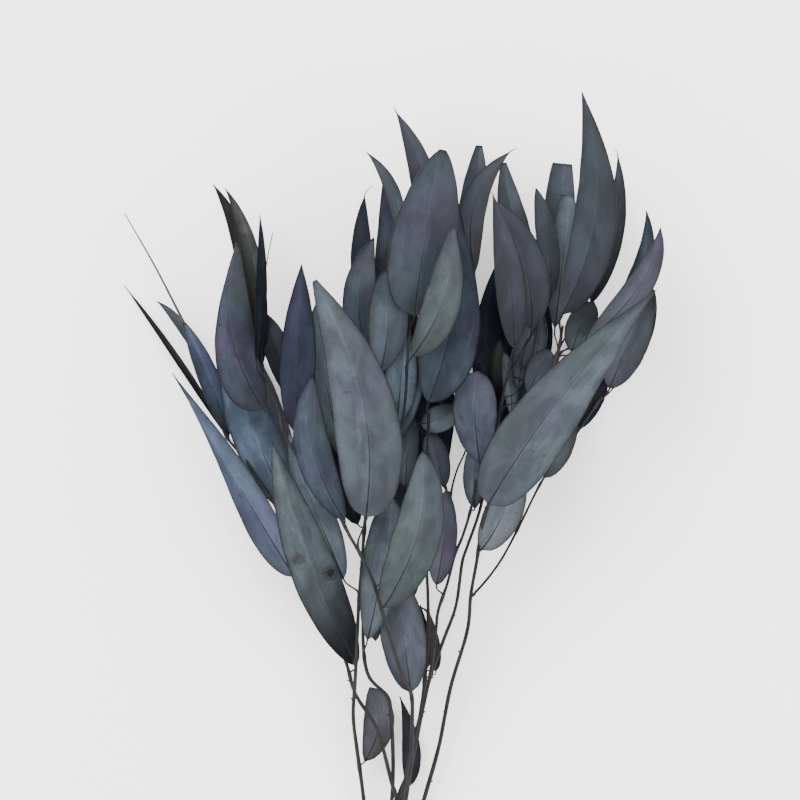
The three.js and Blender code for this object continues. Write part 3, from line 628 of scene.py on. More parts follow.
# Blotches by leaf: share of the way from base to tip, mm left of the midrib, radius, and how deep it gets
BLOTCHES = {
    "green big": [(0.5, 6.5, 4.6, 0.4), (0.4, -9.0, 5.6, 1.0)],
    "central": [(0.26, -11.0, 1.8, 1.0)],
    "big light": [(0.53, 9.0, 3.0, 0.25)],
    "front": [(0.3, 5.0, 2.4, 0.3)],
    "big right": [(0.45, -6.0, 2.2, 0.35)],
}


def blotches(name, along, off, length):
    """1 in the middle of a deep blotch, 0 at its edge and less outside."""
    field = np.full(along.shape, -1.0)
    for share, left, radius, depth in BLOTCHES.get(name, []):
        away = np.hypot(along - share * length, off - left)
        field = np.maximum(field, np.minimum(1 - away / radius, depth))
    return field.ravel()


def add_blade(made, leaf, finish, rng):
    """One blade and its attributes."""
    length = math.dist(leaf["tip"], leaf["base"])
    rows = max(int(length / STEP_ALONG), FEWEST_ROWS)
    t, s = np.broadcast_arrays(np.linspace(0, 1, rows)[:, None], ACROSS[None, :])
    points, half = blade_sides(leaf, t, s, waves_for(rng, leaf))
    values = {
        "blade": np.stack([t * length, half * s, s], axis=-1).reshape(-1, 3),
        "margin": (half * (1 - np.abs(s))).ravel(),
        "along": t.ravel(),
        "chance": np.full(t.size, rng.random()),
        # Tone: partly painted light, lighter for a leaf in the shade of others and darker where shade falls
        # on it.
        "tone": np.full(t.size, leaf["tone"] * rng.uniform(*TONE_RANGE)),
        "blotch": blotches(leaf["what"], t * length, half * s, length),
    }
    values = {key: value.tolist() * 2 for key, value in values.items()}
    made.add(points, *blade_faces(*t.shape), finish, values)


print("leaves with blotches:", sorted(BLOTCHES))

# %% [markdown]
# ## Node groups for the leaves
#
# Dried leaves share a few effects, whatever their colour: side veins that leave the midrib at a slant, a fine
# net between them, cloudy patches where the dye took unevenly, dark specks, and a dark margin, which is
# partly painted shadow. Node groups hold them, and a small class makes the calls for their nodes short.

# %% A helper for node groups
NOISE_RANGE = (0.3, 0.7)  # nearly all values of a noise texture lie in here


class Nodes:
    """Adds and links nodes in one tree with short calls."""

    def __init__(self, tree):
        self.tree = tree

    def give(self, node, values):
        """Links each input of a node to a socket, or sets it to a value."""
        for key, value in values.items():
            if isinstance(value, bpy.types.NodeSocket):
                self.tree.links.new(value, node.inputs[key])
            else:
                node.inputs[key].default_value = value

    def add(self, kind, values, **settings):
        node = self.tree.nodes.new(kind)
        for key, value in settings.items():
            setattr(node, key, value)
        self.give(node, values)
        return node

    def math(self, operation, a, b=0.0, c=0.0, clamp=False):
        return self.add("ShaderNodeMath", {0: a, 1: b, 2: c}, operation=operation, use_clamp=clamp).outputs[0]

    def times(self, first, *others):
        for other in others:
            first = self.math("MULTIPLY", first, other)
        return first

    def minus(self, a, b, clamp=False):
        return self.math("SUBTRACT", a, b, clamp=clamp)

    def within(self, value, limit):
        """1 at a value of 0, falling to 0 at the limit."""
        return self.minus(1.0, self.math("DIVIDE", value, limit), clamp=True)

    def vector(self, operation, a, b):
        return self.add("ShaderNodeVectorMath", {0: a, 1: b}, operation=operation).outputs[0]

    def ramp(self, value, low, high, out_low=0.0, out_high=1.0):
        """Value from low to high becomes out_low to out_high, smoothly."""
        values = {"Value": value, "From Min": low, "From Max": high, "To Min": out_low, "To Max": out_high}
        return self.add("ShaderNodeMapRange", values, interpolation_type="SMOOTHSTEP").outputs["Result"]

    def spread(self, noise, low, high):
        """Noise becomes low to high."""
        return self.ramp(noise, *NOISE_RANGE, low, high)

    def noise(self, place, scale, detail, distortion=0.0):
        values = {"Vector": place, "Scale": scale, "Detail": detail, "Distortion": distortion}
        return self.add("ShaderNodeTexNoise", values).outputs["Fac"]

    def cells(self, place, size, feature):
        values = {"Vector": place, "Scale": self.math("DIVIDE", 1.0, size)}
        return self.add("ShaderNodeTexVoronoi", values, feature=feature).outputs["Distance"]

    def mix(self, factor, a, b):
        return self.add("ShaderNodeMix", {0: factor, 6: a, 7: b}, data_type="RGBA").outputs[2]

    def lighter(self, colour, value, saturation=1.0):
        values = {"Value": value, "Saturation": saturation, "Color": colour}
        return self.add("ShaderNodeHueSaturation", values).outputs[0]

    def bump(self, height, strength, distance):
        values = {"Height": height, "Strength": strength, "Distance": distance * MM}
        return self.add("ShaderNodeBump", values).outputs["Normal"]

    def attribute(self, name, output="Fac"):
        return self.add("ShaderNodeAttribute", {}, attribute_name=name).outputs[output]

    def group(self, tree, values):
        return self.add("ShaderNodeGroup", values, node_tree=tree).outputs


print("helper calls:", [name for name in vars(Nodes) if not name.startswith("_")])

# %% [markdown]
# A group has named inputs, so that every finish can use it with its own values. All leaves share the noises,
# and each leaf reads them at a place of its own.

# %% New groups, and a leaf's place in the noise


def new_group(name, inputs, outputs):
    """A node group of plain numbers. Returns it, its nodes, its input sockets and its output node."""
    group = bpy.data.node_groups.new(name, "ShaderNodeTree")
    for label, value in inputs.items():
        socket = group.interface.new_socket(label, in_out="INPUT", socket_type="NodeSocketFloat")
        socket.default_value = value
    for label in outputs:
        group.interface.new_socket(label, in_out="OUTPUT", socket_type="NodeSocketFloat")
    nodes = Nodes(group)
    return group, nodes, nodes.add("NodeGroupInput", {}).outputs, nodes.add("NodeGroupOutput", {})


def leaf_place(n, apart):
    """A point's place on its blade in mm, and the same with a third number that sets the leaves apart."""
    place = n.add("ShaderNodeSeparateXYZ", {0: n.attribute("blade", "Vector")}).outputs
    third = n.times(n.attribute("chance"), apart)
    return place, n.add("ShaderNodeCombineXYZ", {"X": place["X"], "Y": place["Y"], "Z": third}).outputs[0]


print("node groups so far:", len(bpy.data.node_groups))

# %% [markdown]
# Side veins: on each side of the midrib, a point's distance along the blade, less a share of its distance
# from the midrib, is the same all along one vein. Cut into equal steps, that number gives thin parallel
# lines. They bend a little, noise lets them wander, and they fade out at the margin. A Voronoi pattern's
# edges make the fine net between them. The midrib is a line that thins to the tip, with a strip beside it.

# %% Veins
VEIN_BEND = 0.02
VEIN_WANDER = (0.16, 5.0)  # scale of the noise, and how far it moves a vein
VEIN_FADE = (0.2, 2.5)  # mm from the margin
NET_LINE = 0.09
RIB_HALF = (0.75, 0.22)  # half width of the midrib at base and tip
BESIDE = (0.3, 2.0)  # the strip beside it fades out between these, mm

veins, n, given, out = new_group(
    "Leaf veins",
    {"Spacing": 4.0, "Slant": 0.9, "Width": 0.07, "Net size": 1.4},
    ["Side veins", "Net", "Midrib", "Beside midrib"],
)
place, spot = leaf_place(n, 500.0)
away = n.math("ABSOLUTE", place["Y"])
wander = n.times(n.noise(spot, VEIN_WANDER[0], 2.0), VEIN_WANDER[1])
row = n.minus(n.minus(place["X"], n.times(away, given["Slant"])), n.times(away, away, VEIN_BEND))
row = n.math("DIVIDE", n.math("ADD", row, wander), given["Spacing"])
line = n.within(n.math("ABSOLUTE", n.minus(n.math("FRACT", row), 0.5)), given["Width"])
net = n.cells(spot, given["Net size"], "DISTANCE_TO_EDGE")
rib = n.within(away, n.ramp(n.attribute("along"), 0.0, 1.0, *RIB_HALF))
n.give(out, {
    "Side veins": n.times(line, n.ramp(n.attribute("margin"), *VEIN_FADE)),
    "Net": n.ramp(net, 0.0, NET_LINE, 1.0, 0.0),
    "Midrib": rib,
    "Beside midrib": n.minus(n.ramp(away, *BESIDE, 1.0, 0.0), rib, clamp=True),
})
print(veins.name, "has", len(veins.nodes), "nodes")

# %% [markdown]
# Patches: two soft noises at the scale of a fingertip, drawn out along the leaf, say where the two patch
# colours lie. A smaller one makes the dye cloudy. One half of each blade, on a side that chance picks, is
# painted lighter than the other: painted light and shade, as on a blade folded along its midrib. The finest
# two are the mottling and the brushed streaks along the blade.

# %% Patches
PATCH_STRETCH = (0.55, 1.0, 1.0)
FIRST_PATCH = (0.42, 0.66)  # the noise values between which a patch comes in
SECOND_PATCH = (0.45, 0.68)
SECOND_SHIFT = (70.0, 30.0, 11.0)  # to another place in the same noise
CLOUD_SCALE = 2.6  # times the patches' scale
CLOUD_DISTORTION = 0.4
LIT_HALF_EDGE = 1.5  # mm to each side of the midrib
STREAK_STRETCH = (0.05, 0.9, 1.0)
STREAK_SCALE = 0.9

patches, n, given, out = new_group(
    "Leaf patches",
    {"Patch size": 26.0, "Mottle size": 2.2},
    ["First", "Second", "Cloud", "Painted lit half", "Mottle", "Streaks"],
)
place, spot = leaf_place(n, 900.0)
long = n.vector("MULTIPLY", spot, PATCH_STRETCH)
moved = n.vector("ADD", long, SECOND_SHIFT)
scale = n.math("DIVIDE", 1.0, given["Patch size"])
side = n.minus(n.times(n.math("GREATER_THAN", n.attribute("chance"), 0.5), 2.0), 1.0)
n.give(out, {
    "First": n.ramp(n.noise(long, scale, 2.0), *FIRST_PATCH),
    "Second": n.ramp(n.noise(moved, scale, 2.0), *SECOND_PATCH),
    "Cloud": n.noise(moved, n.times(scale, CLOUD_SCALE), 2.0, CLOUD_DISTORTION),
    # Painted light and shade: one half of the blade lighter, the other darker.
    "Painted lit half": n.ramp(n.times(place["Y"], side), -LIT_HALF_EDGE, LIT_HALF_EDGE, -1.0, 1.0),
    "Mottle": n.noise(spot, n.math("DIVIDE", 1.0, given["Mottle size"]), 4.0),
    "Streaks": n.noise(n.vector("MULTIPLY", spot, STREAK_STRETCH), STREAK_SCALE, 3.0),
})
print(patches.name, "has", len(patches.nodes), "nodes")

# %% [markdown]
# Marks: the margin is a dark line of uneven width, partly the dried, thickened edge and partly painted shadow
# along the outline where a leaf lies over others, with a soft painted shade inside it. The specks are the
# middles of Voronoi cells, only where a noise allows them, and the stains are the peaks of another noise. The
# base is dark too. A blotch is where the blade's own blotch value, made ragged by noise, is high, and in the
# middle of a deep one the leaf is nearly black.

# %% Marks
SCALES = {"edge": 0.35, "few": 0.11, "stain": 0.17, "ragged": 0.6}  # of the noises
EDGE = (0.3, 0.75, 0.55, 1.7)  # two noise values, and how many times the margin's width they give
MARGIN_SOFT = 1.3
SHADE_REACH = 5.0
SPECKS_FULL = 0.8  # the noise value from which the specks have their full size
SPECK_RADIUS = 0.16  # share of a cell
STAIN = (0.66, 0.74)
RAGGED = 0.9  # how far noise moves the edge of a blotch
BLOTCH = (0.0, 0.2)
BLACK_SPOT = (0.42, 0.62)

marks, n, given, out = new_group(
    "Leaf marks",
    {"Margin width": 1.4, "Speck size": 5.0, "Speck share": 0.38, "Base reach": 0.3},
    ["Margin", "Shade", "Specks", "Stains", "Base", "Blotch", "Black spot"],
)
_, spot = leaf_place(n, 300.0)
margin = n.attribute("margin")
reach = n.times(given["Margin width"], n.ramp(n.noise(spot, SCALES["edge"], 2.0), *EDGE))
few = n.noise(spot, SCALES["few"], 1.0)
size = n.ramp(few, n.minus(1.0, given["Speck share"]), SPECKS_FULL, 0.0, SPECK_RADIUS)
level = n.minus(n.attribute("blotch"), RAGGED / 2)
ragged = n.math("MULTIPLY_ADD", n.noise(spot, SCALES["ragged"], 3.0), RAGGED, level)
n.give(out, {
    # Dark margin line: partly the dried, thickened edge, partly painted shadow along the outline. The shade
    # inside it is painted shade.
    "Margin": n.math("POWER", n.within(margin, reach), MARGIN_SOFT),
    "Shade": n.ramp(margin, 0.0, SHADE_REACH, 1.0, 0.0),
    "Specks": n.math("LESS_THAN", n.cells(spot, given["Speck size"], "F1"), size),
    "Stains": n.ramp(n.noise(spot, SCALES["stain"], 4.0), *STAIN),
    "Base": n.ramp(n.attribute("along"), 0.0, given["Base reach"], 1.0, 0.0),
    "Blotch": n.ramp(ragged, *BLOTCH),
    # The middle of a deep blotch is painted nearly black.
    "Black spot": n.ramp(ragged, *BLACK_SPOT),
})
print(marks.name, "has", len(marks.nodes), "nodes")

# %% [markdown]
# ## The leaf finishes
#
# The photo has slate, blue, purple, green-grey and nearly black leaves. Each finish is one row of colours, as
# the eye reads them on the leaf.

# %% Leaf colours


def seen(red, green, blue, light):
    """A colour as a screen shows it, 0 to 255, as the shader wants it. Light is what falls on it."""
    made = []
    for value, much in zip((red, green, blue), light):
        share = value / 255
        share = share / 12.92 if share <= 0.04045 else ((share + 0.055) / 1.055) ** 2.4
        made.append(min(share * much, 1.0))
    return (*made, 1.0)


# Main colour, the two patch colours, how dark the base is, and for some how far that reaches along the leaf,
# and the shine
FINISHES = {
    "pale": ((128, 136, 140), (118, 130, 128), (122, 124, 136), 0.2),
    "light": ((102, 111, 119), (94, 107, 106), (101, 101, 117), 0.25),
    "green_grey": ((90, 99, 102), (84, 96, 94), (84, 88, 100), 0.3),
    "slate_blue": ((82, 91, 105), (76, 92, 100), (84, 80, 104), 0.3),
    "slate": ((72, 80, 90), (68, 82, 84), (76, 72, 92), 0.35),
    "dark_slate": ((58, 66, 76), (54, 68, 70), (60, 58, 76), 0.35, 0.3, 0.08),
    "purple": ((88, 89, 106), (80, 86, 98), (92, 82, 108), 0.3),
    "purple_grey": ((68, 72, 86), (62, 72, 78), (78, 68, 90), 0.3),
    "mauve": ((96, 92, 100), (88, 90, 94), (102, 94, 106), 0.3),
    "plum": ((54, 50, 62), (50, 52, 58), (58, 50, 64), 0.3, 0.3, 0.08),
    "navy_purple": ((53, 59, 77), (49, 59, 74), (60, 57, 79), 0.3, 0.3, 0.05),
    "navy": ((40, 45, 58), (36, 48, 54), (46, 42, 62), 0.4, 0.3, 0.04),
    "blue": ((94, 107, 131), (86, 104, 118), (92, 94, 128), 0.3),
    "light_blue": ((102, 116, 136), (98, 113, 124), (100, 104, 134), 0.35),
    "green": ((95, 102, 105), (82, 96, 92), (84, 89, 98), 1.0, 0.6, 0.05),
    "olive": ((80, 80, 77), (72, 76, 66), (74, 68, 74), 1.0, 0.6, 0.05),
    "black_olive": ((44, 45, 43), (50, 52, 42), (40, 38, 46), 0.8, 0.5, 0.04),
}
LEAF_LIGHT = (0.24, 0.253, 0.27)
BLACK = (0.003, 0.0035, 0.0045, 1)
STAIN_BROWN = seen(74, 58, 40, LEAF_LIGHT)
BLOTCH_BROWN = seen(76, 71, 64, LEAF_LIGHT)
print(len(FINISHES), "rows of leaf colours")

# %% [markdown]
# One function builds the material of every finish: the patches tint the main colour, the veins and the midrib
# draw on it, and the specks and the margin darken it. Dried leaves are dull but not chalky, so the roughness
# is middling and varies with the mottling.

# %% Leaf materials
PATCH_SHARE = 0.8
CLOUD = (0.75, 1.25)  # these three are times the colour's brightness
MOTTLE = (0.93, 1.07)
STREAKS = (0.94, 1.06)
PAINTED_HALF_LIGHT = 0.13  # painted light and shade: how much lighter and darker than their mean the two halves are
LIGHTER = (1.5, 0.8)  # the brightness and saturation of veins, times those of the leaf
PALE_RIBS = ("blue", "light_blue", "green")  # finishes whose midrib is lighter than the blade
PALE_RIB = 0.6
DARK_RIB = 0.45
# What is laid over the colour, in this order, and how strongly. Each finish has its own number for the base.
VEIN_LAYERS = {"Side veins": 0.18, "Net": 0.06, "Beside midrib": 0.22}
# Of these, the margin line is partly painted shadow, and the shade inside it is painted shade.
MARK_LAYERS = {
    "Blotch": 0.6, "Black spot": 0.85, "Stains": 0.5, "Specks": 0.6, "Base": None, "Shade": 0.35, "Margin": 0.75,
}
BROWN_LAYERS = {"Blotch": BLOTCH_BROWN, "Stains": STAIN_BROWN}
ROUGHNESS = (0.44, 0.58)
RELIEF = {"veins": 0.5, "net": 0.15, "mottle": 0.4}
LEAF_BUMP = (0.4, 0.25)  # strength, and depth in mm


def leaf_colour(n, patch, main, first, second):
    """The main colour with its patches, clouds, mottling, streaks, tone (partly painted light) and lit half.
    """
    main, first, second = (seen(*colour, LEAF_LIGHT) for colour in (main, first, second))
    colour = n.mix(n.times(patch["First"], PATCH_SHARE), main, first)
    colour = n.mix(n.times(patch["Second"], PATCH_SHARE), colour, second)
    # The tone is partly painted light: lighter for leaves in the shade of others, darker where shade falls.
    cloud_and_painted_light = n.times(n.attribute("tone"), n.spread(patch["Cloud"], *CLOUD))
    fine = n.times(n.spread(patch["Mottle"], *MOTTLE), n.spread(patch["Streaks"], *STREAKS))
    # Painted light and shade: one half of the blade lighter, the other darker, as on a blade folded at the
    # midrib.
    lit_half = n.math("MULTIPLY_ADD", patch["Painted lit half"], PAINTED_HALF_LIGHT, 1.0)
    return n.lighter(colour, n.times(cloud_and_painted_light, n.times(fine, lit_half)))


def leaf_material(name, main, first, second, dark_base, dark_to=0.3, shine=0.16):
    """The material of one finish."""
    material, shader = new_material("leaf " + name)
    n = Nodes(material.node_tree)
    vein, patch = n.group(veins, {}), n.group(patches, {})
    mark = n.group(marks, {"Base reach": dark_to})
    colour = leaf_colour(n, patch, main, first, second)
    pale = n.lighter(colour, *LIGHTER)
    for key, share in VEIN_LAYERS.items():
        colour = n.mix(n.times(vein[key], share), colour, pale)
    share, rib = (PALE_RIB, pale) if name in PALE_RIBS else (DARK_RIB, BLACK)
    colour = n.mix(n.times(vein["Midrib"], share), colour, rib)
    for key, share in {**MARK_LAYERS, "Base": dark_base}.items():
        colour = n.mix(n.times(mark[key], share), colour, BROWN_LAYERS.get(key, BLACK))
    height = n.math("ADD", n.times(vein["Side veins"], RELIEF["veins"]), n.times(vein["Net"], RELIEF["net"]))
    height = n.math("ADD", height, n.times(patch["Mottle"], RELIEF["mottle"]))
    n.give(shader, {
        "Base Color": colour,
        "Roughness": n.spread(patch["Mottle"], *ROUGHNESS),
        "Specular IOR Level": shine,
        "Normal": n.bump(height, *LEAF_BUMP),
    })
    return material


LEAF_MATERIALS = {name: leaf_material(name, *row) for name, row in FINISHES.items()}
print(len(LEAF_MATERIALS), "leaf materials")

# %% [markdown]
# ## Wood: stems, branches and leaf stalks
#
# A stem is a round rod that thins towards its end. A tube whose rings follow the line does this. Each point
# of a tube also carries how far it is along the tube in mm, and how far round it.

# %% Tubes
SIDES = 10


def rings_round(line, radii, sides):
    """The points of a tube, ring after ring. Each ring turns as little as it can from the last."""
    heading = unit(np.gradient(line, axis=0))
    angles = np.linspace(0, 2 * math.pi, sides, endpoint=False)[:, None]
    side = np.cross(heading[0], (0.0, 0.0, 1.0))
    if np.linalg.norm(side) < 1e-3:
        side = np.array((1.0, 0.0, 0.0))
    rings = []
    for point, direction, radius in zip(line, heading, radii):
        side = unit(side - direction * side.dot(direction))
        up = np.cross(side, direction)
        rings.append(point + radius * (np.cos(angles) * side + np.sin(angles) * up))
    return np.vstack(rings)


def tube_faces(count, sides):
    """The faces of a tube with this many rings, and its two flat ends."""
    faces = []
    for i in range(count - 1):
        for k in range(sides):
            a, b = i * sides + k, i * sides + (k + 1) % sides
            faces.append((a, b, b + sides, a + sides))
    last = (count - 1) * sides
    return faces + [tuple(range(sides))[::-1], tuple(last + k for k in range(sides))]


def add_tube(made, line, radii, finish, sides=SIDES):
    """A closed tube round a line."""
    line = np.asarray(line, float)
    faces = tube_faces(len(line), sides)
    smooth = [True] * (len(faces) - 2) + [False] * 2
    steps = np.linalg.norm(np.diff(line, axis=0), axis=1)
    run = np.repeat(np.r_[0, np.cumsum(steps)], sides)
    around = np.tile(np.arange(sides) / sides, len(line))
    values = {"run": np.stack([run, around, np.zeros_like(run)], axis=-1).tolist()}
    made.add(rings_round(line, radii, sides), faces, smooth, finish, values)


print("faces of a tube with 20 rings:", len(tube_faces(20, SIDES)))

# %% [markdown]
# A stalk forks off its stem at a narrow angle, some way before its leaf, and goes on under the blade as the
# midrib, so it is one tube too.

# %% Stalks
STALK = (2.0, 1.1)  # thickness at the stem and at the blade, mm
STALK_BEND = 0.45  # how strongly it bends at both ends, as a share of its length
STALK_RUN = 0.9  # how far before its leaf it forks off, times the leaf's distance from the stem
STALK_STEP = 1.5
STALK_TAPER = 2.2  # it has its final thickness after one part in 2.2 of its way
STALK_SIDES = 8
FULL_WIDTH = 22  # a leaf this wide or wider has a stalk of full thickness
THIN_STALK = 0.65  # share of it that the narrowest leaf's stalk has
RIB_END = 0.86  # share of the blade that the midrib's tube reaches
RIB_POINTS = 24
RIB_DEPTH = 0.42  # of the tube's middle under the blade
RIB_SINKS = 0.08  # share of the blade in which it gets that deep
RIB_TAPER = 0.8
RIB_TIP = 0.06


def fork_for(lines, base):
    """Where a leaf's stalk leaves the nearest line: the point, its heading and radius, and which it is."""
    gaps = [np.linalg.norm(line - base, axis=1) for _, _, line in lines]
    index = min(range(len(lines)), key=lambda i: gaps[i].min())
    thick, thin, line = lines[index]
    back = STALK_RUN * gaps[index].min() / np.linalg.norm(line[1] - line[0])
    at = max(int(gaps[index].argmin()) - int(round(back)), 0)
    heading = line[min(at + 1, len(line) - 1)] - line[max(at - 1, 0)]
    radius = (thick + (thin - thick) * at / (len(line) - 1)) / 2
    return line[at], unit(heading), radius, (index, at)


def bezier(a, b, c, d, count):
    """Points along a cubic Bezier curve."""
    t = np.linspace(0, 1, count)[:, None]
    return (1 - t) ** 3 * a + 3 * (1 - t) ** 2 * t * b + 3 * (1 - t) * t**2 * c + t**3 * d


def add_stalk(wood, leaf, lines):
    """The stalk of a leaf and, under the blade, its midrib. Returns where it forks off."""
    (end, further), _ = leaf_surface(leaf, np.array([0.0, 0.1]), 0.0)
    into = unit(further - end)
    fork, heading, radius, where = fork_for(lines, end)
    length = np.linalg.norm(end - fork)
    reach = STALK_BEND * length
    count = max(int(length / STALK_STEP), 6)
    free = bezier(fork, fork + heading * reach, end - into * reach, end, count)
    t = np.linspace(0, RIB_END, RIB_POINTS)[1:]
    under, _ = leaf_surface(leaf, t, 0.0)
    under[:, 2] = np.maximum(under[:, 2] - RIB_DEPTH * np.minimum(t / RIB_SINKS, 1), LOWEST)
    size = min(leaf["width"] / FULL_WIDTH, 1.0) * (1 - THIN_STALK) + THIN_STALK
    start, thin = min(STALK[0] / 2, radius) * size, STALK[1] / 2 * size
    stalk = start + (thin - start) * np.minimum(np.linspace(0, 1, count) * STALK_TAPER, 1)
    rib = thin * (1 - t / RIB_END) ** RIB_TAPER + RIB_TIP
    add_tube(wood, np.vstack([free, under]), np.r_[stalk, rib], LEAF_STALK, STALK_SIDES)
    return where


print("stalk radii:", STALK[0] / 2, "to", STALK[1] / 2, "mm")

# %% [markdown]
# A stem isn't quite even either: it swells where a stalk leaves it, and two slight waves run along it.

# %% Swellings
UNEVEN = ((0.03, 60, 1), (0.02, 143, 2))  # height as a share of the radius, quickness, times the phase
SWELLING = (0.28, 1.6)  # height in mm, and half length in points of the line


def swollen(line, thick, thin, knots, rng):
    """Radii along a stem: even thinning, slight unevenness and a swelling at each fork."""
    share = np.linspace(0, 1, len(line))
    phase = rng.uniform(0, 6)
    waves = sum(height * np.sin(share * quick + phase * times) for height, quick, times in UNEVEN)
    radius = (thick + (thin - thick) * share) / 2 * (1 + waves)
    height, reach = SWELLING
    for knot in knots:
        radius = radius + height * np.exp(-(((np.arange(len(line)) - knot) / reach) ** 2))
    return radius


print("radius at a fork of an even stem:", swollen(LINES["left"][0][2], 2, 2, [10], random.Random(1))[10])

# %% [markdown]
# The bark of such thin stems is dark and drawn out along the stem, with paler scratches where it rubbed off.
# Its pattern is stretched noise, laid by the distance along the tube, so the grain follows each bend.

# %% Long grain
GRAIN_RADIUS = 0.16  # share of the lines, for the circle on which the noise is read round a tube
SCRATCH_SCALE = 2.6
SCRATCHES = (0.58, 0.7)

grain, n, given, out = new_group("Long grain", {"Length": 9.0, "Lines": 7.0}, ["Grain", "Scratches"])
run = n.add("ShaderNodeSeparateXYZ", {0: n.attribute("run", "Vector")}).outputs
turn = n.times(run["Y"], 2 * math.pi)
radius = n.times(given["Lines"], GRAIN_RADIUS)
spot = n.add("ShaderNodeCombineXYZ", {
    "X": n.math("DIVIDE", run["X"], given["Length"]),
    "Y": n.times(n.math("COSINE", turn), radius),
    "Z": n.times(n.math("SINE", turn), radius),
}).outputs[0]
n.give(out, {
    "Grain": n.noise(spot, 1.0, 5.0),
    "Scratches": n.ramp(n.noise(spot, SCRATCH_SCALE, 3.0), *SCRATCHES),
})
print(grain.name, "has", len(grain.nodes), "nodes")

# %% [markdown]
# The same grain makes dark bark, darker leaf stalks, grey dry tips and the pale wood of the cut ends, each
# with its own colours and roughness.

# %% Bark and cut wood
WOOD_LIGHT = (0.4, 0.4, 0.4)
BARK_CONTRAST = (0.6, 1.5)
BARK_SCRATCHES = 0.3
BARK_SHINE = 0.08
BARK_BUMP = (0.6, 0.2)  # strength, and depth in mm
ROUGHER = (-0.08, 0.1)  # how far the grain moves the roughness


def grain_material(name, size, main, pale, contrast, scratched, rough, bump):
    """A material with long grain and paler scratches, and its shader."""
    material, shader = new_material(name)
    n = Nodes(material.node_tree)
    lines = n.group(grain, size)
    colour = n.lighter(seen(*main, WOOD_LIGHT), n.spread(lines["Grain"], *contrast))
    n.give(shader, {
        "Base Color": n.mix(n.times(lines["Scratches"], scratched), colour, seen(*pale, WOOD_LIGHT)),
        "Roughness": n.spread(lines["Grain"], *rough),
        "Normal": n.bump(lines["Grain"], *bump),
    })
    return material, shader


def wood_material(name, main, pale, length, roughness):
    rough = [roughness + more for more in ROUGHER]
    material, shader = grain_material(
        name, {"Length": length}, main, pale, BARK_CONTRAST, BARK_SCRATCHES, rough, BARK_BUMP)
    shader.inputs["Specular IOR Level"].default_value = BARK_SHINE
    return material


WOOD_MATERIALS = [
    wood_material("bark", (52, 51, 51), (92, 89, 86), 9.0, 0.62),
    wood_material("leaf stalk", (42, 44, 49), (72, 76, 82), 6.0, 0.55),
    wood_material("dry tip", (80, 81, 80), (112, 110, 107), 6.0, 0.6),
    wood_material("cut wood", (150, 138, 116), (120, 104, 84), 3.0, 0.75),
]
BARK, LEAF_STALK, DRY_TIP, CUT_WOOD = range(4)
print("wood materials:", [material.name for material in WOOD_MATERIALS])

# %% [markdown]
# ## Putting the stems together
#
# First come the small things on the wood. Nubs, the scars of leaves that fell off, stand along the lower
# three quarters of a stem. Some leaf tips end in a short dry curl, two in a long dry thread, and the cut end
# is pale.

# %% Nubs, curls, threads and cuts
SEED = 20
FIRST_NUB = (20, 34)  # least and greatest distance from the cut end, mm
NUB_GAP = (17, 51)
NUB_SHARE = 0.75  # the share of a stem that has nubs
NUB_LENGTH = (1.1, 2.2)
NUB_FORWARD = 1.6
NUB_SLANT = 0.2  # how far the direction that it is drawn from slants along the bunch
NUB_FOOT = 0.75  # share of the stem's radius
NUB_END = 0.22
NUB_POINTS = 5
NUB_SIDES = 7
# Leaves whose tip ends in a dry curl: its length in mm and how far it turns, in degrees to the left
CURLS = {
    "dark tip": (9, -55), "leaf with sharp tip": (5, -20), "hook": (5, -25), "narrow dark far": (5, 35),
    "dark purple one": (2.5, 45), "light sickle": (2, 15),
}
CURL_STEPS = 10
CURL_THICK = (0.9, 0.3)
CURL_START = 0.97  # share of the blade
FINE_SIDES = 6
CUT_INSIDE = 0.2  # the cut starts this many steps inside the stem
CUT_OUTSIDE = 0.02
CUT_WIDTH = 0.97
THREAD_STEP = 1.5


def add_nubs(wood, thick, thin, line, rng):
    """Small stubs along a stem."""
    at = rng.uniform(*FIRST_NUB)
    while at / LINE_STEP < len(line) * NUB_SHARE:
        index = int(at / LINE_STEP)
        heading = unit(line[index + 1] - line[index])
        angle = rng.uniform(0, 2 * math.pi)
        side = unit(np.cross(heading, (math.cos(angle), NUB_SLANT, math.sin(angle))))
        radius = (thick + (thin - thick) * index / len(line)) / 2
        end = line[index] + side * (radius + rng.uniform(*NUB_LENGTH)) + heading * NUB_FORWARD
        radii = np.linspace(radius * NUB_FOOT, NUB_END, NUB_POINTS)
        add_tube(wood, np.linspace(line[index], end, NUB_POINTS), radii, BARK, NUB_SIDES)
        at += rng.uniform(*NUB_GAP)


def add_curl(wood, leaf, length, turn):
    """The dry thread in which a leaf's tip ends. It starts a little inside the tip."""
    (inside, tip), _ = leaf_surface(leaf, np.array([CURL_START, 1.0]), 0.0)
    heading = unit(tip - inside)
    angle = math.atan2(heading[1], heading[0])
    level = math.hypot(heading[0], heading[1])
    points = [inside, tip]
    for share in np.arange(1, CURL_STEPS + 1) / CURL_STEPS:
        now = angle + math.radians(turn) * share
        way = np.array((level * math.cos(now), level * math.sin(now), heading[2] * (1 - share)))
        points.append(points[-1] + way * length / CURL_STEPS)
    add_tube(wood, points, np.linspace(*CURL_THICK, len(points)) / 2, DRY_TIP, FINE_SIDES)


def add_cut(wood, thick, line):
    """The pale face of the cut end."""
    step = line[1] - line[0]
    ends = [line[0] + step * CUT_INSIDE, line[0] - step * CUT_OUTSIDE]
    add_tube(wood, ends, [thick / 2 * CUT_WIDTH] * 2, CUT_WOOD)


def add_thread(wood, thick, thin, on_leaf, route):
    """A long dry thread, from where it leaves its leaf."""
    thread = even(smooth_line(route), THREAD_STEP)
    first = int(len(thread) * on_leaf)
    add_tube(wood, thread[first:], np.linspace(thick, thin, len(thread))[first:] / 2, DRY_TIP, FINE_SIDES)


print(len(CURLS), "leaf tips curl")

# %% [markdown]
# For each stem, its blades go into one mesh and its wood into another. Both ride on the bunch's one body and
# stand for the plain solid.

# %% Leafy stems


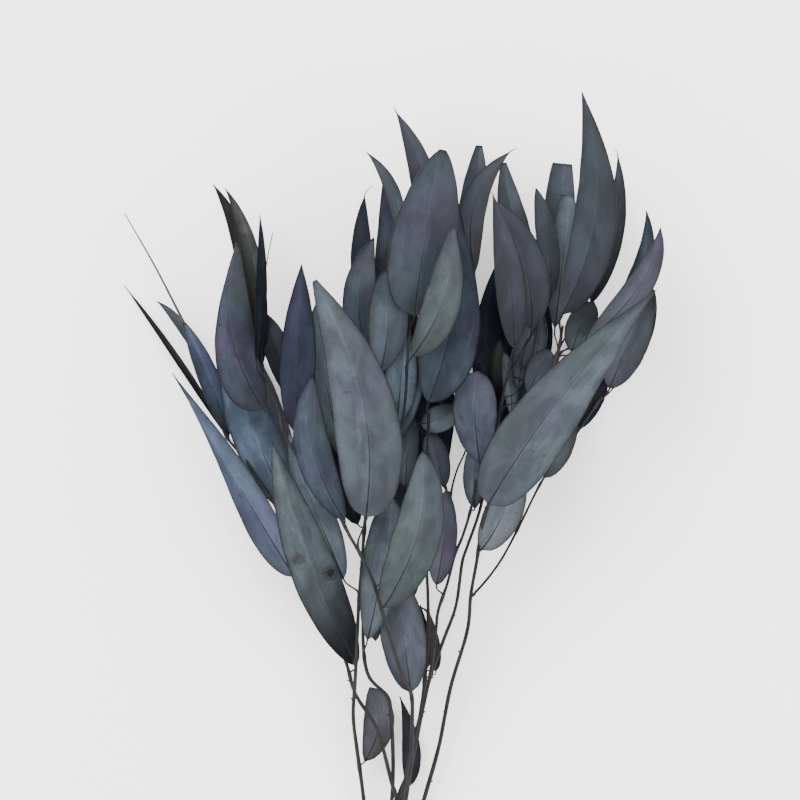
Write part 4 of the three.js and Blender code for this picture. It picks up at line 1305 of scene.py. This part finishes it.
def leafy_stem(name):
    """Both pieces of one stem. Returns their numbers of faces."""
    rng = random.Random(f"{SEED} {name}")
    blades, wood = Collector(), Collector()
    finishes = sorted({leaf["finish"] for leaf in leaves_of(name)})
    forks = []
    for leaf in leaves_of(name):
        add_blade(blades, leaf, finishes.index(leaf["finish"]), rng)
        forks.append(add_stalk(wood, leaf, LINES[name]))
        if leaf["what"] in CURLS:
            add_curl(wood, leaf, *CURLS[leaf["what"]])
    for index, (thick, thin, line) in enumerate(LINES[name]):
        knots = [at for forked, at in forks if forked == index]
        add_tube(wood, line, swollen(line, thick, thin, knots, rng), BARK)
    thick, thin, line = LINES[name][0]
    add_nubs(wood, thick, thin, line, rng)
    add_cut(wood, thick, line)
    if name in THREADS:
        add_thread(wood, *THREADS[name])
    leaves = object_from(f"{name}_leaves", blades, [LEAF_MATERIALS[finish] for finish in finishes])
    twigs = object_from(f"{name}_twigs", wood, WOOD_MATERIALS)
    for piece, slot in ((leaves, "leaves"), (twigs, "stems")):
        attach(piece, "root")
        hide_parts(f"{name}_stem")
    return len(blades.faces), len(wood.faces)


for name in ROUTES:
    print(name, "faces of leaves and wood:", leafy_stem(name))

# %% [markdown]
# ## The twine tie
#
# Twine is two strands laid round each other. Wound five times round the stems, it makes a band that is
# pressed flat underneath, where the bunch lies on it. Each strand is a tube round a line that circles the
# twine's own line, and the twine's line circles the stems. A knot on top, with two short ends, holds it.

# %% Twine
TURNS = 5
TURN_POINTS = 60
BAND = 9.84  # how far the winding moves along the stems in all, mm
BAND_AXIS = (0.0, 1.0, 0.02)  # nearly along the stems, but never quite along a strand
TWINE_RING = 7.35
STRAND = 0.6  # radius of one strand
STRAND_OFF = 0.82  # a strand's distance from the twine's line, as a share of its radius
STRAND_SIDES = 8
LAY = 5.2  # length of twine in which the strands go once round each other
LAY_STEP = 0.45
FIBRE_SHEEN = 0.3
TOP = TIE_HEIGHT + TWINE_RING
# Points of the knot and of the two ends: x, y and the height over the top of the ring
KNOT = [
    (-2.6, -0.6, 0.9), (-1.2, 1.9, 1.7), (1.3, 1.5, 2.4), (2.3, -0.5, 1.7), (0.9, -2.0, 1.9),
    (-1.3, -1.3, 2.9), (-1.4, 0.9, 2.3), (0.6, 1.2, 1.2), (2.4, -0.2, 0.8),
]
TAILS = [
    [(-1.6, -0.4, 1.6), (-4.2, 2.5, 1.4), (-6.0, 7.5, -0.6), (-7.2, 13.5, -1.4), (-9.6, 19.0, -1.0)],
    [(1.6, 0.4, 1.6), (4.6, 2.2, 1.2), (7.4, 5.6, -1.2), (9.4, 10.6, -3.2), (10.0, 16.0, -3.6)],
]


def strands(line, phase):
    """The two strand lines of a twine that follows a line."""
    line = even(line, LAY_STEP)
    heading = unit(np.gradient(line, axis=0))
    side = unit(np.cross(heading, BAND_AXIS))
    up = np.cross(side, heading)
    turn = np.arange(len(line))[:, None] * LAY_STEP / LAY * 2 * math.pi + phase
    off = STRAND * STRAND_OFF
    return [line + off * (np.cos(a) * side + np.sin(a) * up) for a in (turn, turn + math.pi)]


def winding():
    """The twine's line round the stems, pressed flat underneath."""
    angle = np.linspace(-0.5 * math.pi, (2 * TURNS - 0.5) * math.pi, TURN_POINTS * TURNS)
    x = TWINE_RING * np.cos(angle)
    z = np.maximum(TIE_HEIGHT + TWINE_RING * np.sin(angle), 2 * STRAND)
    y = np.linspace(-BAND / 2, BAND / 2, len(angle))
    return np.column_stack([x, y, z])


twine = Collector()
knotted = [smooth_line([(x, y, TOP + over) for x, y, over in points]) for points in (KNOT, *TAILS)]
for index, line in enumerate([winding(), *knotted]):
    for strand in strands(line, index):
        add_tube(twine, strand, [STRAND] * len(strand), 0, STRAND_SIDES)
fibres, fibre_shader = grain_material(
    "jute twine", {"Length": 2.6, "Lines": 12.0}, (176, 148, 108), (206, 184, 146),
    contrast=(0.55, 1.35), scratched=0.5, rough=(0.75, 0.95), bump=(0.8, 0.25))
fibre_shader.inputs["Sheen Weight"].default_value = FIBRE_SHEEN
tie = object_from("twine_tie", twine, [fibres])
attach(tie, "root")
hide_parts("tie")
print("faces of the twine:", len(twine.faces))

# %% [markdown]
